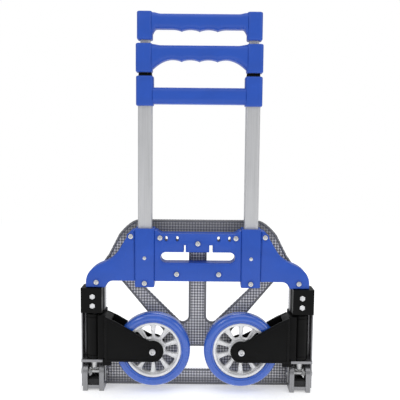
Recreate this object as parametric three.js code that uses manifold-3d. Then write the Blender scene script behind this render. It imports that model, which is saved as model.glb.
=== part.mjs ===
// Folding hand truck: telescopic handle, two-shell chassis, swing-out wheels and a fold-up toe plate,
// shown folded. Millimetres, +X right, -Y the wheel side, +Z up, standing on z = 0.
import * as THREE from "three";
import { mergeVertices } from "three/addons/utils/BufferGeometryUtils.js";
import Module from "manifold-3d";

const wasm = await Module();
wasm.setup();

// ---------------------------------------------------------------- driving dimensions (mm)

// Wheels, folded flat side by side between the two swing pivots
const WHEEL_RADIUS = 63.5;
const WHEEL_WIDTH = 26;
const WHEEL_GAP = 23; // between the two tyres at the middle
const GROUND_CLEARANCE = 12; // under the folded tyres
const RIM_RADIUS = 48;
const HUB_RADIUS = 13;
const RIM_WINDOWS = 10;
const AXLE_RADIUS = 4;

// Wheel forks and their upright swing pivots
const TYRE_CLEARANCE = 6.5; // from the tread to the fork's web
const FORK_WEB = 21;
const ARM_THICKNESS = 5;
const ARM_SIDE_GAP = 2; // between a tyre's side and a fork arm
const ARM_END_RADIUS = 18.5;
const BARREL_RADIUS = 13.8;
const BARREL_OFFSET = 12; // from the pivot's centre line to the web
const ARM_HEEL = 11; // how far the front arm reaches over the web
const WEB_SETBACK = 10.5; // of the web beyond that, behind the front arm's face
const FORK_HEIGHT = 78;
const SWING_SHAFT_RADIUS = 5.6;

// Corner channels and the black sleeves that clamp the chassis arms to them
const SHEET = 2.2;
const CHANNEL_INSIDE = 37.6; // between the two flanges
const CHANNEL_FRONT = -8; // front edges of the flanges
const CHANNEL_BACK = 16.5; // back face of the web
const SHELF_THICKNESS = 4.6; // the channel's shelf that carries the fork
const FLANGE_BOTTOM = 6;
const SLEEVE_HEIGHT = 43;
const SLEEVE_FLOOR = 8;
const UPPER_FLANGE_STEP = 3; // the channel is this much narrower beside the sleeve
const UPPER_FLANGE_FRONT = 5; // its inner flange is shallow there
const SLEEVE_FRONT = -18;
const SLEEVE_BOLT_RADIUS = 2.5;
const SLEEVE_BOLT_PITCH = 16;

// Toe plate, its hinge and the bevel gears that turn the forks with it
const HINGE_HEIGHT = 30;
const HINGE_PIN_RADIUS = 3.2;
const CHEEK_THICKNESS = 8;
const CHEEK_RADIUS = 14; // rounded top of a cheek, and its reach in front of the hinge
const TOE_PLATE_HEIGHT = 295;
const TOE_PLATE_THICKNESS = 3;
const TOE_PLATE_FACE = 18; // behind the pivots' plane
const TOE_TOP_HALF_WIDTH = 104;
const TOE_SPINE_WIDTH = 31;
const TOE_FOOT_HEIGHT = 29; // the strip along the bottom edge
const TOE_SHOULDER_DROP = 125; // from the plate's top to the ends of its straight sides
const TOE_TOP_BAND = 25; // the strip above the windows
const TOE_SIDE_BAND = 36; // from the plate's side edge to the outer windows
const DIAGONAL_LOW = 98; // where a diagonal leaves the spine
const DIAGONAL_TOP_DROP = 81; // from the plate's top to where it meets the side band
const DIAGONAL_RISE = 17; // from its lower edge to its upper edge, beside the spine
const FOOT_WINDOW_TOP = 70;
const GEAR_PITCH_RADIUS = 8;
const GEAR_TEETH = 12;
const GEAR_INNER_SHARE = 0.58; // where the teeth end, measured from the cones' tip

// Chassis: two half shells on the columns
const CHASSIS_HEIGHT = 82; // of the crossbar between the columns
const CHASSIS_LIFT = 12; // of the crossbar's lower edge over the corner sleeves
const CHASSIS_HALF_DEPTH = 14;
const CHASSIS_WALL = 2.5;
const COLUMN_RIB = 2.5; // how far the column housings stand proud
const SHOULDER_BACKING = 8; // solid plastic on both sides of a housing
const SLOT_HALF_LENGTH = 63;
const SLOT_HEIGHT = 18;
const TONGUE_HALF_DEPTH = 11.7; // the arm's end inside the corner sleeve
const SCREW_RADIUS = 2;
const SCREW_HEAD_RADIUS = 4.2;
const SCREW_BOSS_RADIUS = 4.6;
const ARM_SLOPE_RUN = 21; // sideways, along the straight upper edge of an arm
const ARM_SLOPE_DROP = 35;
const ELBOW_DROP = 54.5; // from the shoulder to where the arm levels out
const KNUCKLE_DROP = 59; // from the shoulder to the top of the arm's rounded end
const ARM_END_DROP = 69;
const HOOK_HOLE_WIDTH = 4.6;
const HOOK_HOLE_HEIGHT = 8.5;
const HOOK_HOLE_DEPTH = 9; // below the crossbar's top

// Telescopic columns, three tubes one in another
const COLUMN_SPACING = 180;
const OUTER_TUBE_WIDTH = 24;
const OUTER_TUBE_DEPTH = 18;
const OUTER_TUBE_WALL = 1.4;
const INNER_TUBE_WALL = 1.2;
const TUBE_GAP = 0.5; // sliding clearance on each side
const EXPOSED_TUBE = 205; // from the chassis to the lower bar
const STAGE_TRAVEL = 180; // how far each stage pulls out
const LOCK_RADIUS = 3;
const LOCK_TRAVEL = 2;

// The three cross bars
const BAR_HALF_DEPTH = 13;
const LOWER_BAR_WALLS = [2, 3]; // of a sleeve, inboard and outboard of its tube
const MID_BAR_WALLS = [1.9, 5.4];
const GRIP_BAR_WALLS = [3.6, 5.1];
const BAR_SLEEVE_HEIGHT = 47.5;
const LOWER_BAR_SLEEVE_HEIGHT = 49.5;
const LOWER_CROSSBAR_HEIGHT = 28;
const MID_CROSSBAR_HEIGHT = 26.8;
const GRIP_CROSSBAR_HEIGHT = 28.4;
const STAGE_GAP = 5.5; // between stacked bars
const FINGER_PITCH = 30;
const FINGER_DEPTH = 3.2;

const FIT = 0.3; // clearance between pieces that touch
const RUNNING = 0.4; // clearance of a piece that turns

// ---------------------------------------------------------------- places that follow from them

const AXLE_X = WHEEL_RADIUS + WHEEL_GAP / 2;
const AXLE_Z = GROUND_CLEARANCE + WHEEL_RADIUS;
const WEB_INNER_X = AXLE_X + WHEEL_RADIUS + TYRE_CLEARANCE;
const PIVOT_X = WEB_INNER_X + FORK_WEB + BARREL_OFFSET;
const FORK_FRONT = -(WHEEL_WIDTH + ARM_SIDE_GAP + ARM_THICKNESS) + ARM_SIDE_GAP + 0.5;
const FORK_BACK = FORK_FRONT + WHEEL_WIDTH + 2 * (ARM_SIDE_GAP + ARM_THICKNESS);
const WHEEL_Y = (FORK_FRONT + FORK_BACK) / 2;
const WHEEL_ROOM_FRONT = FORK_FRONT + ARM_THICKNESS;
const WHEEL_ROOM_BACK = FORK_BACK - ARM_THICKNESS;
const FORK_BOTTOM = AXLE_Z - ARM_END_RADIUS;
const FORK_TOP = FORK_BOTTOM + FORK_HEIGHT;
const SHELF_TOP = FORK_BOTTOM - 2.4;
const SHELF_BOTTOM = SHELF_TOP - SHELF_THICKNESS;
const SLEEVE_BOTTOM = FORK_TOP + 3;
const SLEEVE_TOP = SLEEVE_BOTTOM + SLEEVE_HEIGHT;
const FLANGE_OUT = CHANNEL_INSIDE / 2 + SHEET; // from the pivot to a flange's outer face
const WEB_FRONT = CHANNEL_BACK - SHEET + 0.2;
const CHASSIS_BOTTOM = SLEEVE_TOP + CHASSIS_LIFT;
const CHASSIS_TOP = CHASSIS_BOTTOM + CHASSIS_HEIGHT;
const HOUSING_BOTTOM = CHASSIS_BOTTOM - 10;
const HOUSING_TOP = CHASSIS_TOP + 8;
const HOUSING_HALF_WIDTH = 16.5;
const COLUMN_X = COLUMN_SPACING / 2;
const SLOT_Z = CHASSIS_BOTTOM + 0.5 * CHASSIS_HEIGHT;
const TUBE_BOTTOM = HOUSING_BOTTOM + 14;
const LOWER_BAR_Z = HOUSING_TOP + EXPOSED_TUBE;
const LOWER_BAR_TOP = LOWER_BAR_Z + LOWER_BAR_SLEEVE_HEIGHT;
const MID_BAR_Z = LOWER_BAR_TOP + STAGE_GAP;
const MID_BAR_TOP = MID_BAR_Z + BAR_SLEEVE_HEIGHT;
const GRIP_BAR_Z = MID_BAR_TOP + STAGE_GAP;
const GRIP_BAR_TOP = GRIP_BAR_Z + BAR_SLEEVE_HEIGHT - 1.5;
const MID_TUBE_WIDTH = OUTER_TUBE_WIDTH - 2 * (OUTER_TUBE_WALL + TUBE_GAP);
const MID_TUBE_DEPTH = OUTER_TUBE_DEPTH - 2 * (OUTER_TUBE_WALL + TUBE_GAP);
const GRIP_TUBE_WIDTH = MID_TUBE_WIDTH - 2 * (INNER_TUBE_WALL + TUBE_GAP);
const GRIP_TUBE_DEPTH = MID_TUBE_DEPTH - 2 * (INNER_TUBE_WALL + TUBE_GAP);
const MID_TUBE_BOTTOM = TUBE_BOTTOM + 6;
const GRIP_TUBE_BOTTOM = MID_TUBE_BOTTOM + 35;
const MID_LOCK_Z = MID_TUBE_BOTTOM + 16;
const GRIP_LOCK_Z = GRIP_TUBE_BOTTOM + 14;
const TOE_HALF_WIDTH = PIVOT_X + FLANGE_OUT - SHEET - 0.8;
const HEAD_FRONT = FORK_FRONT - 4.3; // outer faces of the axle bolts' heads
const DEPTH_SHIFT = -(HEAD_FRONT + TOE_PLATE_FACE + TOE_PLATE_THICKNESS) / 2;

// ---------------------------------------------------------------- materials

function finish(color, roughness, metalness) {
  return new THREE.MeshStandardMaterial({ color, roughness, metalness });
}
const bluePlastic = finish(0x1f4fb8, 0.38, 0);
const blackPlastic = finish(0x17181a, 0.5, 0);
const anodised = finish(0xbfc1c4, 0.42, 0.9);
const channelMetal = finish(0xa9abae, 0.4, 0.9);
const meshPlate = finish(0x8d8d90, 0.5, 0.7);
const zinc = finish(0xd2d4d6, 0.3, 1);
const gearSteel = finish(0x9a9b9d, 0.4, 0.9);
const tyreBlue = finish(0x2458d6, 0.3, 0);
const rimSilver = finish(0xd6d8dc, 0.25, 0.8);
const rubberBlack = finish(0x101112, 0.85, 0);

// ---------------------------------------------------------------- solids

const AXES = {
  x: [new THREE.Vector3(0, 1, 0), new THREE.Vector3(0, 0, 1), new THREE.Vector3(1, 0, 0)],
  y: [new THREE.Vector3(1, 0, 0), new THREE.Vector3(0, 0, 1), new THREE.Vector3(0, -1, 0)],
  z: [new THREE.Vector3(1, 0, 0), new THREE.Vector3(0, 1, 0), new THREE.Vector3(0, 0, 1)],
};

// A closed geometry as a solid that can be joined and cut.
function solid(geometry) {
  const bare = new THREE.BufferGeometry().setAttribute("position", geometry.getAttribute("position"));
  if (geometry.index) bare.setIndex(geometry.index);
  const merged = mergeVertices(bare, 1e-4);
  return new wasm.Manifold(
    new wasm.Mesh({
      numProp: 3,
      vertProperties: new Float32Array(merged.attributes.position.array),
      triVerts: new Uint32Array(merged.index.array),
    }),
  );
}

function geometryOf(body) {
  const mesh = body.getMesh();
  return new THREE.BufferGeometry()
    .setAttribute("position", new THREE.BufferAttribute(new Float32Array(mesh.vertProperties), 3))
    .setIndex(new THREE.BufferAttribute(new Uint32Array(mesh.triVerts), 1));
}

const join = (first, ...rest) => rest.reduce((body, other) => body.add(other), first);
const cut = (body, ...tools) => tools.reduce((left, tool) => left.subtract(tool), body);

// An outline pushed along an axis: (y, z) along x, (x, z) along y, or (x, y) along z.
function prism(outline, axis, from, to, curveSegments = 6) {
  const shape = outline instanceof THREE.Shape ? outline : new THREE.Shape(outline);
  const geometry = new THREE.ExtrudeGeometry(shape, {
    depth: to - from,
    bevelEnabled: false,
    curveSegments,
  });
  const start = axis === "y" ? to : from;
  const place = new THREE.Matrix4().makeBasis(...AXES[axis]);
  place.setPosition(AXES[axis][2].clone().multiplyScalar(axis === "y" ? -start : start));
  return solid(geometry.applyMatrix4(place));
}

function box(x0, x1, y0, y1, z0, z1) {
  const geometry = new THREE.BoxGeometry(x1 - x0, y1 - y0, z1 - z0);
  geometry.translate((x0 + x1) / 2, (y0 + y1) / 2, (z0 + z1) / 2);
  return solid(geometry);
}

// A round bar along an axis, centred on the two other coordinates given in order.
function rod(axis, a, b, radius, from, to, segments = 16) {
  const outline = new THREE.Shape().absarc(a, b, radius, 0, 2 * Math.PI, false);
  return prism(outline, axis, from, to, segments / 2);
}

// A profile of [radius, height] points turned about a vertical or a depth-wise axis.
function turned(profile, axis, a, b, segments = 32) {
  const points = profile.map(([r, h]) => new THREE.Vector2(r, h));
  const geometry = new THREE.LatheGeometry(points, segments);
  geometry.rotateX(Math.PI / 2);
  if (axis === "z") geometry.translate(a, b, 0);
  if (axis === "y") {
    geometry.rotateX(Math.PI / 2);
    geometry.rotateZ(Math.PI);
    geometry.translate(a, 0, b);
  }
  return solid(geometry);
}

function roundedRectangle(cx, cy, width, depth, radius) {
  const x0 = cx - width / 2;
  const x1 = cx + width / 2;
  const y0 = cy - depth / 2;
  const y1 = cy + depth / 2;
  const shape = new THREE.Shape();
  shape.absarc(x1 - radius, y0 + radius, radius, -Math.PI / 2, 0, false);
  shape.absarc(x1 - radius, y1 - radius, radius, 0, Math.PI / 2, false);
  shape.absarc(x0 + radius, y1 - radius, radius, Math.PI / 2, Math.PI, false);
  shape.absarc(x0 + radius, y0 + radius, radius, Math.PI, 1.5 * Math.PI, false);
  return shape;
}

// A half outline from the middle outwards, with its mirror image.
function mirrored(points) {
  const left = points
    .filter((p) => p.x > 1e-6)
    .map((p) => new THREE.Vector2(-p.x, p.y))
    .reverse();
  return new THREE.Shape([...points, ...left]);
}

// An outline moved inwards by a wall thickness, corner by corner.
function inset(points, wall) {
  const ring = points.filter((p, i) => p.distanceTo(points[(i + 1) % points.length]) > 0.01);
  const clockwise = THREE.ShapeUtils.isClockWise(ring);
  const side = clockwise ? -wall : wall;
  return ring.map((p, i) => {
    const before = ring[(i + ring.length - 1) % ring.length];
    const after = ring[(i + 1) % ring.length];
    const a = p.clone().sub(before).normalize();
    const b = after.clone().sub(p).normalize();
    const normal = new THREE.Vector2(-a.y - b.y, a.x + b.x).normalize();
    const stretch = Math.max(0.5, normal.dot(new THREE.Vector2(-a.y, a.x)));
    return p.clone().addScaledVector(normal, side / stretch);
  });
}

// ---------------------------------------------------------------- assembly

const truck = new THREE.Group();
truck.position.y = DEPTH_SHIFT;

function add(name, body, material) {
  const mesh = new THREE.Mesh(geometryOf(body), material);
  mesh.name = name;
  truck.add(mesh);
  return mesh;
}

// The right-hand piece and its mirror image.
function pair(name, body, material) {
  add(`${name}_right`, body, material);
  add(`${name}_left`, body, material).scale.x = -1;
}

// ---------------------------------------------------------------- columns

function tube(width, depth, wall, bottom, top) {
  const corner = 4;
  const outside = roundedRectangle(COLUMN_X, 0, width, depth, corner);
  const bore = roundedRectangle(COLUMN_X, 0, width - 2 * wall, depth - 2 * wall, corner - wall);
  return cut(prism(outside, "z", bottom, top, 2), prism(bore, "z", bottom - 1, top + 1, 2));
}

const lockHole = (z, from, to) => rod("y", COLUMN_X, z, LOCK_RADIUS + RUNNING, from, to, 16);

const OUTER_TUBE_TOP = LOWER_BAR_TOP - 7.5;
const MID_TUBE_TOP = MID_BAR_TOP - 7;
const GRIP_TUBE_TOP = GRIP_BAR_TOP - 17;

pair(
  "outer_tube",
  cut(
    tube(OUTER_TUBE_WIDTH, OUTER_TUBE_DEPTH, OUTER_TUBE_WALL, TUBE_BOTTOM, OUTER_TUBE_TOP),
    lockHole(MID_LOCK_Z + STAGE_TRAVEL, 1, OUTER_TUBE_DEPTH),
  ),
  anodised,
);
pair(
  "mid_tube",
  cut(
    tube(MID_TUBE_WIDTH, MID_TUBE_DEPTH, INNER_TUBE_WALL, MID_TUBE_BOTTOM, MID_TUBE_TOP),
    lockHole(MID_LOCK_Z, 1, OUTER_TUBE_DEPTH),
    lockHole(GRIP_LOCK_Z + STAGE_TRAVEL, 1, OUTER_TUBE_DEPTH),
  ),
  anodised,
);
pair(
  "grip_tube",
  cut(
    tube(GRIP_TUBE_WIDTH, GRIP_TUBE_DEPTH, INNER_TUBE_WALL, GRIP_TUBE_BOTTOM, GRIP_TUBE_TOP),
    lockHole(GRIP_LOCK_Z, 1, OUTER_TUBE_DEPTH),
  ),
  anodised,
);

// A snap-lock button with the leaf spring that carries it, inside the foot of a stage's tube.
function lockButton(z, tubeDepth) {
  const tip = tubeDepth / 2 + TUBE_GAP - 0.2;
  const seat = tubeDepth / 2 - INNER_TUBE_WALL - FIT;
  const leaf = 0.7;
  const reach = -tubeDepth / 2 + INNER_TUBE_WALL + LOCK_TRAVEL + FIT;
  const button = rod("y", COLUMN_X, z, LOCK_RADIUS, seat - leaf, tip, 16);
  const bend = [
    [seat, z - 6],
    [seat, z + 4],
    [reach + leaf, z + 7.5],
    [reach + leaf, z + 10],
    [reach, z + 10],
    [reach, z + 7],
    [seat - leaf, z + 3.5],
    [seat - leaf, z - 6],
  ];
  const spring = prism(
    bend.map(([y, h]) => new THREE.Vector2(y, h)),
    "x",
    COLUMN_X - 2.6,
    COLUMN_X + 2.6,
  );
  return join(button, spring);
}
pair("mid_lock_button", lockButton(MID_LOCK_Z, MID_TUBE_DEPTH), zinc);
pair("grip_lock_button", lockButton(GRIP_LOCK_Z, GRIP_TUBE_DEPTH), zinc);

// ---------------------------------------------------------------- cross bars

function tubeSocket(width, depth, bottom, top) {
  const sockets = [COLUMN_X, -COLUMN_X].map((x) => {
    const outline = roundedRectangle(x, 0, width + 2 * FIT, depth + 2 * FIT, 4.2);
    return prism(outline, "z", bottom, top, 2);
  });
  return join(...sockets);
}

// The inner and outer face of a bar's sleeve, from the middle plane.
function sleeveFaces(tubeWidth, [inboard, outboard]) {
  return [COLUMN_X - tubeWidth / 2 - inboard, COLUMN_X + tubeWidth / 2 + outboard];
}

// The underside between -end and end: three tips a finger apart, hollows between and beside them.
function fingerEdge(tipZ, end) {
  const reach = 1.5 * FINGER_PITCH;
  const steps = 30;
  const wave = Array.from({ length: steps + 1 }, (_, i) => {
    const x = -reach + (2 * reach * i) / steps;
    const rise = Math.abs(Math.sin((Math.PI * x) / FINGER_PITCH)) ** 0.7;
    return new THREE.Vector2(x, tipZ + FINGER_DEPTH * rise);
  });
  const flat = tipZ + FINGER_DEPTH;
  return [new THREE.Vector2(-end, flat), ...wave, new THREE.Vector2(end, flat)];
}

// An inverted U: a sleeve on each column and a crossbar between. At each inner corner the underside
// drops over the given width; bend is the control point's share of that width from the sleeve.
function barOutline({ bottom, top, barTop, tipZ, faces, across, down, bend }) {
  const [inner, outer] = faces;
  const shape = new THREE.Shape();
  const edge = 4; // rounding of the outer corners
  const underside = fingerEdge(tipZ, inner - across);
  const flat = underside[0].y;
  const control = inner - across * bend;
  shape.moveTo(-outer, bottom);
  shape.lineTo(-inner, bottom);
  shape.lineTo(-inner, flat - down);
  shape.quadraticCurveTo(-control, flat, -inner + across, flat);
  underside.forEach((p) => shape.lineTo(p.x, p.y));
  shape.quadraticCurveTo(control, flat, inner, flat - down);
  shape.lineTo(inner, bottom);
  shape.lineTo(outer, bottom);
  shape.lineTo(outer, top - edge);
  shape.quadraticCurveTo(outer, top, outer - edge, top);
  shape.lineTo(inner, top);
  shape.quadraticCurveTo(inner - 6, barTop, inner - 16, barTop);
  shape.lineTo(-inner + 16, barTop);
  shape.quadraticCurveTo(-inner + 6, barTop, -inner, top);
  shape.lineTo(-outer + edge, top);
  shape.quadraticCurveTo(-outer, top, -outer, top - edge);
  return shape;
}

function gripBar() {
  const barTop = GRIP_BAR_TOP - 3;
  const outline = barOutline({
    bottom: GRIP_BAR_Z,
    top: GRIP_BAR_TOP,
    barTop,
    tipZ: barTop - GRIP_CROSSBAR_HEIGHT,
    faces: sleeveFaces(GRIP_TUBE_WIDTH, GRIP_BAR_WALLS),
    across: 7,
    down: 9,
    bend: 0,
  });
  return cut(
    prism(outline, "y", -BAR_HALF_DEPTH, BAR_HALF_DEPTH, 4),
    tubeSocket(GRIP_TUBE_WIDTH, GRIP_TUBE_DEPTH, GRIP_BAR_Z - 1, GRIP_TUBE_TOP + FIT),
  );
}

function midBar() {
  const barTop = MID_BAR_TOP - 2.5;
  const outline = barOutline({
    bottom: MID_BAR_Z,
    top: MID_BAR_TOP,
    barTop,
    tipZ: barTop - MID_CROSSBAR_HEIGHT,
    faces: sleeveFaces(MID_TUBE_WIDTH, MID_BAR_WALLS),
    across: 32,
    down: 16.5,
    bend: 0.5,
  });
  return cut(
    prism(outline, "y", -BAR_HALF_DEPTH, BAR_HALF_DEPTH, 4),
    tubeSocket(MID_TUBE_WIDTH, MID_TUBE_DEPTH, MID_BAR_Z - 1, MID_TUBE_TOP + FIT),
    tubeSocket(GRIP_TUBE_WIDTH, GRIP_TUBE_DEPTH, MID_BAR_Z, MID_BAR_TOP + 1),
  );
}

function lowerBar() {
  const z0 = LOWER_BAR_Z;
  const z1 = LOWER_BAR_Z + 3;
  const z2 = z1 + LOWER_CROSSBAR_HEIGHT;
  const [inner, outer] = sleeveFaces(OUTER_TUBE_WIDTH, LOWER_BAR_WALLS);
  const outline = mirrored(
    [
      [0, z1],
      [inner, z1],
      [inner, z0],
      [outer, z0],
      [outer, LOWER_BAR_TOP],
      [inner, LOWER_BAR_TOP],
      [inner, z2],
      [0, z2],
    ].map(([x, z]) => new THREE.Vector2(x, z)),
  );
  return cut(
    prism(outline, "y", -BAR_HALF_DEPTH, BAR_HALF_DEPTH),
    tubeSocket(OUTER_TUBE_WIDTH, OUTER_TUBE_DEPTH, z0 - 1, LOWER_BAR_TOP + 1),
  );
}

// The guide at the mouth of an outer tube, with its neck showing above the lower bar.
function guideCollar() {
  const foot = roundedRectangle(COLUMN_X, 0, OUTER_TUBE_WIDTH, OUTER_TUBE_DEPTH, 4);
  const neck = roundedRectangle(COLUMN_X, 0, OUTER_TUBE_WIDTH - 1.6, OUTER_TUBE_DEPTH - 1.6, 3.6);
  const bore = roundedRectangle(
    COLUMN_X,
    0,
    MID_TUBE_WIDTH + 2 * FIT,
    MID_TUBE_DEPTH + 2 * FIT,
    3.4,
  );
  return cut(
    join(
      prism(foot, "z", OUTER_TUBE_TOP + FIT, LOWER_BAR_TOP - FIT, 2),
      prism(neck, "z", OUTER_TUBE_TOP + FIT, MID_BAR_Z - FIT, 2),
    ),
    prism(bore, "z", OUTER_TUBE_TOP, MID_BAR_Z + 1, 2),
  );
}

add("grip_bar", gripBar(), bluePlastic);
add("mid_bar", midBar(), bluePlastic);
add("lower_bar", lowerBar(), bluePlastic);
pair("guide_collar", guideCollar(), blackPlastic);

// ---------------------------------------------------------------- chassis shells

const ARM_OUTER = PIVOT_X + 12;
const ARM_INNER = PIVOT_X - 21;
const SHOULDER_X = COLUMN_X + HOUSING_HALF_WIDTH + 6.5;
const SHOULDER_Z = HOUSING_TOP - 2.5;
const TONGUE_INNER = PIVOT_X - 12.5;
const TONGUE_BOTTOM = SLEEVE_BOTTOM + SLEEVE_FLOOR + FIT;

// The chassis seen from the wheel side: crossbar, shoulders at the columns, and the curved arms.
function chassisPoints() {
  const housing = COLUMN_X - HOUSING_HALF_WIDTH;
  const elbow = SHOULDER_Z - ELBOW_DROP;
  const bend = ARM_INNER - 4; // the underside's rounded inner corner
  const half = new THREE.Shape();
  half.moveTo(0, CHASSIS_TOP);
  half.lineTo(housing - 14, CHASSIS_TOP);
  half.quadraticCurveTo(housing - 9, CHASSIS_TOP, housing - 4, SHOULDER_Z);
  half.lineTo(SHOULDER_X, SHOULDER_Z);
  half.lineTo(SHOULDER_X + ARM_SLOPE_RUN, SHOULDER_Z - ARM_SLOPE_DROP);
  half.quadraticCurveTo(SHOULDER_X + ARM_SLOPE_RUN + 8, elbow + 6.5, PIVOT_X - 23, elbow);
  half.lineTo(PIVOT_X - 12, SHOULDER_Z - KNUCKLE_DROP);
  half.quadraticCurveTo(ARM_OUTER - 1, SHOULDER_Z - ARM_END_DROP, ARM_OUTER, CHASSIS_BOTTOM - 2);
  half.lineTo(ARM_OUTER, SLEEVE_TOP + FIT);
  half.lineTo(ARM_INNER, SLEEVE_TOP + FIT);
  half.quadraticCurveTo(bend, CHASSIS_BOTTOM, bend - 10, CHASSIS_BOTTOM);
  half.lineTo(0, CHASSIS_BOTTOM);
  return half.getPoints(4);
}

function slotOutline(grow) {
  const half = SLOT_HEIGHT / 2 + grow;
  return roundedRectangle(0, SLOT_Z, 2 * (SLOT_HALF_LENGTH + grow), 2 * half, half - 0.01);
}

const SLITS = [-22.2, 22.3]; // middles of the two slits above the slot
const SLIT_WIDTHS = [3.2, 5.6];
const SLIT_HEIGHT = 12;
const HOOK_HOLES = [-53.5, -35, 35, 53.5]; // small upright holes along the crossbar's top
const HOOK_HOLE_Z = CHASSIS_TOP - HOOK_HOLE_DEPTH;

const SCREWS = [
  ["top_middle", 0, CHASSIS_TOP - 17, 0],
  ["top_inner_right", COLUMN_X - 26, CHASSIS_TOP - 7.5, 0],
  ["top_inner_left", -COLUMN_X + 26, CHASSIS_TOP - 7.5, 0],
  ["shoulder_right", SHOULDER_X + 0.5, SHOULDER_Z - 11, 0],
  ["shoulder_left", -SHOULDER_X - 0.5, SHOULDER_Z - 11, 0],
  ["bottom_inner_right", 35.6, CHASSIS_BOTTOM + 12.5, 0],
  ["bottom_inner_left", -35.6, CHASSIS_BOTTOM + 12.5, 0],
  ["housing_right", COLUMN_X, HOUSING_BOTTOM + 7, COLUMN_RIB],
  ["housing_left", -COLUMN_X, HOUSING_BOTTOM + 7, COLUMN_RIB],
  ["arm_right", PIVOT_X - 6, SLEEVE_TOP + 9.5, 0],
  ["arm_left", -PIVOT_X + 6, SLEEVE_TOP + 9.5, 0],
];

const sleeveBoltHeights = [0, 1].map(
  (i) => SLEEVE_BOTTOM + SLEEVE_FLOOR + 4.5 + SLEEVE_BOLT_PITCH * i,
);

// One half of the chassis; side is -1 for the wheel side and +1 for the load side.
function chassisShell(side) {
  const outline = mirrored(chassisPoints());
  const face = side * CHASSIS_HALF_DEPTH;
  const seam = side * (FIT / 2);
  const inner = side * (CHASSIS_HALF_DEPTH - CHASSIS_WALL);
  const mouth = -side; // the pockets open past the seam
  const span = (a, b) => [Math.min(a, b), Math.max(a, b)];
  const slab = (shape, a, b) => prism(shape, "y", ...span(a, b), 4);
  const half = (x0, x1, a, b, z0, z1) => box(x0, x1, ...span(a, b), z0, z1);

  const keep = [slab(slotOutline(CHASSIS_WALL), mouth, inner)];
  SCREWS.forEach(([, x, z]) => keep.push(rod("y", x, z, SCREW_BOSS_RADIUS, ...span(mouth, inner), 8)));
  HOOK_HOLES.forEach((x) => keep.push(rod("y", x, HOOK_HOLE_Z, 6.8, ...span(mouth, inner), 8)));
  SLITS.forEach((x) => keep.push(half(x - 5.5, x + 5.5, mouth, inner, SLOT_Z, SLOT_Z + 24)));
  [1, -1].forEach((s) => {
    const x0 = s * COLUMN_X - HOUSING_HALF_WIDTH - SHOULDER_BACKING;
    const x1 = s * COLUMN_X + HOUSING_HALF_WIDTH + SHOULDER_BACKING;
    keep.push(half(x0, x1, mouth, inner, HOUSING_BOTTOM, HOUSING_TOP));
  });
  const pocketOutline = new THREE.Shape(inset(outline.getPoints(), CHASSIS_WALL));
  const pocket = cut(slab(pocketOutline, mouth, inner), ...keep);

  const housings = [1, -1].flatMap((s) => {
    const x0 = s * COLUMN_X - HOUSING_HALF_WIDTH;
    const x1 = s * COLUMN_X + HOUSING_HALF_WIDTH;
    const tongue = [s * TONGUE_INNER, s * ARM_OUTER].sort((a, b) => a - b);
    const tongueFace = side * TONGUE_HALF_DEPTH;
    return [
      half(x0, x1, seam, face + side * COLUMN_RIB, HOUSING_BOTTOM, HOUSING_TOP),
      half(...tongue, seam, tongueFace, TONGUE_BOTTOM, SLEEVE_TOP + 4),
    ];
  });
  const body = join(cut(slab(outline, seam, face), pocket), ...housings);

  const reach = CHASSIS_HALF_DEPTH + COLUMN_RIB + 1;
  const tools = [
    slab(slotOutline(0), -reach, reach),
    tubeSocket(OUTER_TUBE_WIDTH, OUTER_TUBE_DEPTH, TUBE_BOTTOM - FIT, HOUSING_TOP + 1),
  ];
  SLITS.forEach((x, i) => {
    const w = SLIT_WIDTHS[i] / 2;
    tools.push(box(x - w, x + w, -reach, reach, SLOT_Z, SLOT_Z + SLOT_HEIGHT / 2 + SLIT_HEIGHT));
  });
  HOOK_HOLES.forEach((x) => {
    const hole = roundedRectangle(x, HOOK_HOLE_Z, HOOK_HOLE_WIDTH, HOOK_HOLE_HEIGHT, 2.2);
    tools.push(prism(hole, "y", -reach, reach, 3));
  });
  const screwEnd = side < 0 ? reach : CHASSIS_HALF_DEPTH - 4;
  SCREWS.forEach(([, x, z]) => {
    tools.push(rod("y", x, z, SCREW_RADIUS + 0.2, -reach, screwEnd, 8));
  });
  [1, -1].forEach((s) => {
    sleeveBoltHeights.forEach((z) => {
      tools.push(rod("y", s * PIVOT_X, z, SLEEVE_BOLT_RADIUS + FIT, -reach, reach, 8));
    });
  });
  return cut(body, ...tools);
}

add("chassis_shell_back", chassisShell(-1), bluePlastic);
add("chassis_shell_front", chassisShell(1), bluePlastic);

// A pan-head screw pointing along +Y, its head's underside on the given face.
function screw(x, z, face, headRadius, shankRadius, end) {
  const head = [
    [0, face - 2.4],
    [headRadius * 0.6, face - 2.2],
    [headRadius, face - 1.2],
    [headRadius, face],
    [shankRadius, face],
    [shankRadius, end],
    [0, end],
  ];
  return turned(head, "y", x, z, 10);
}

SCREWS.forEach(([name, x, z, proud]) => {
  const face = -CHASSIS_HALF_DEPTH - proud - 0.1;
  const end = CHASSIS_HALF_DEPTH - 4.5;
  add(`chassis_screw_${name}`, screw(x, z, face, SCREW_HEAD_RADIUS, SCREW_RADIUS, end), zinc);
});

// ---------------------------------------------------------------- corner sleeves and channels

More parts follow.
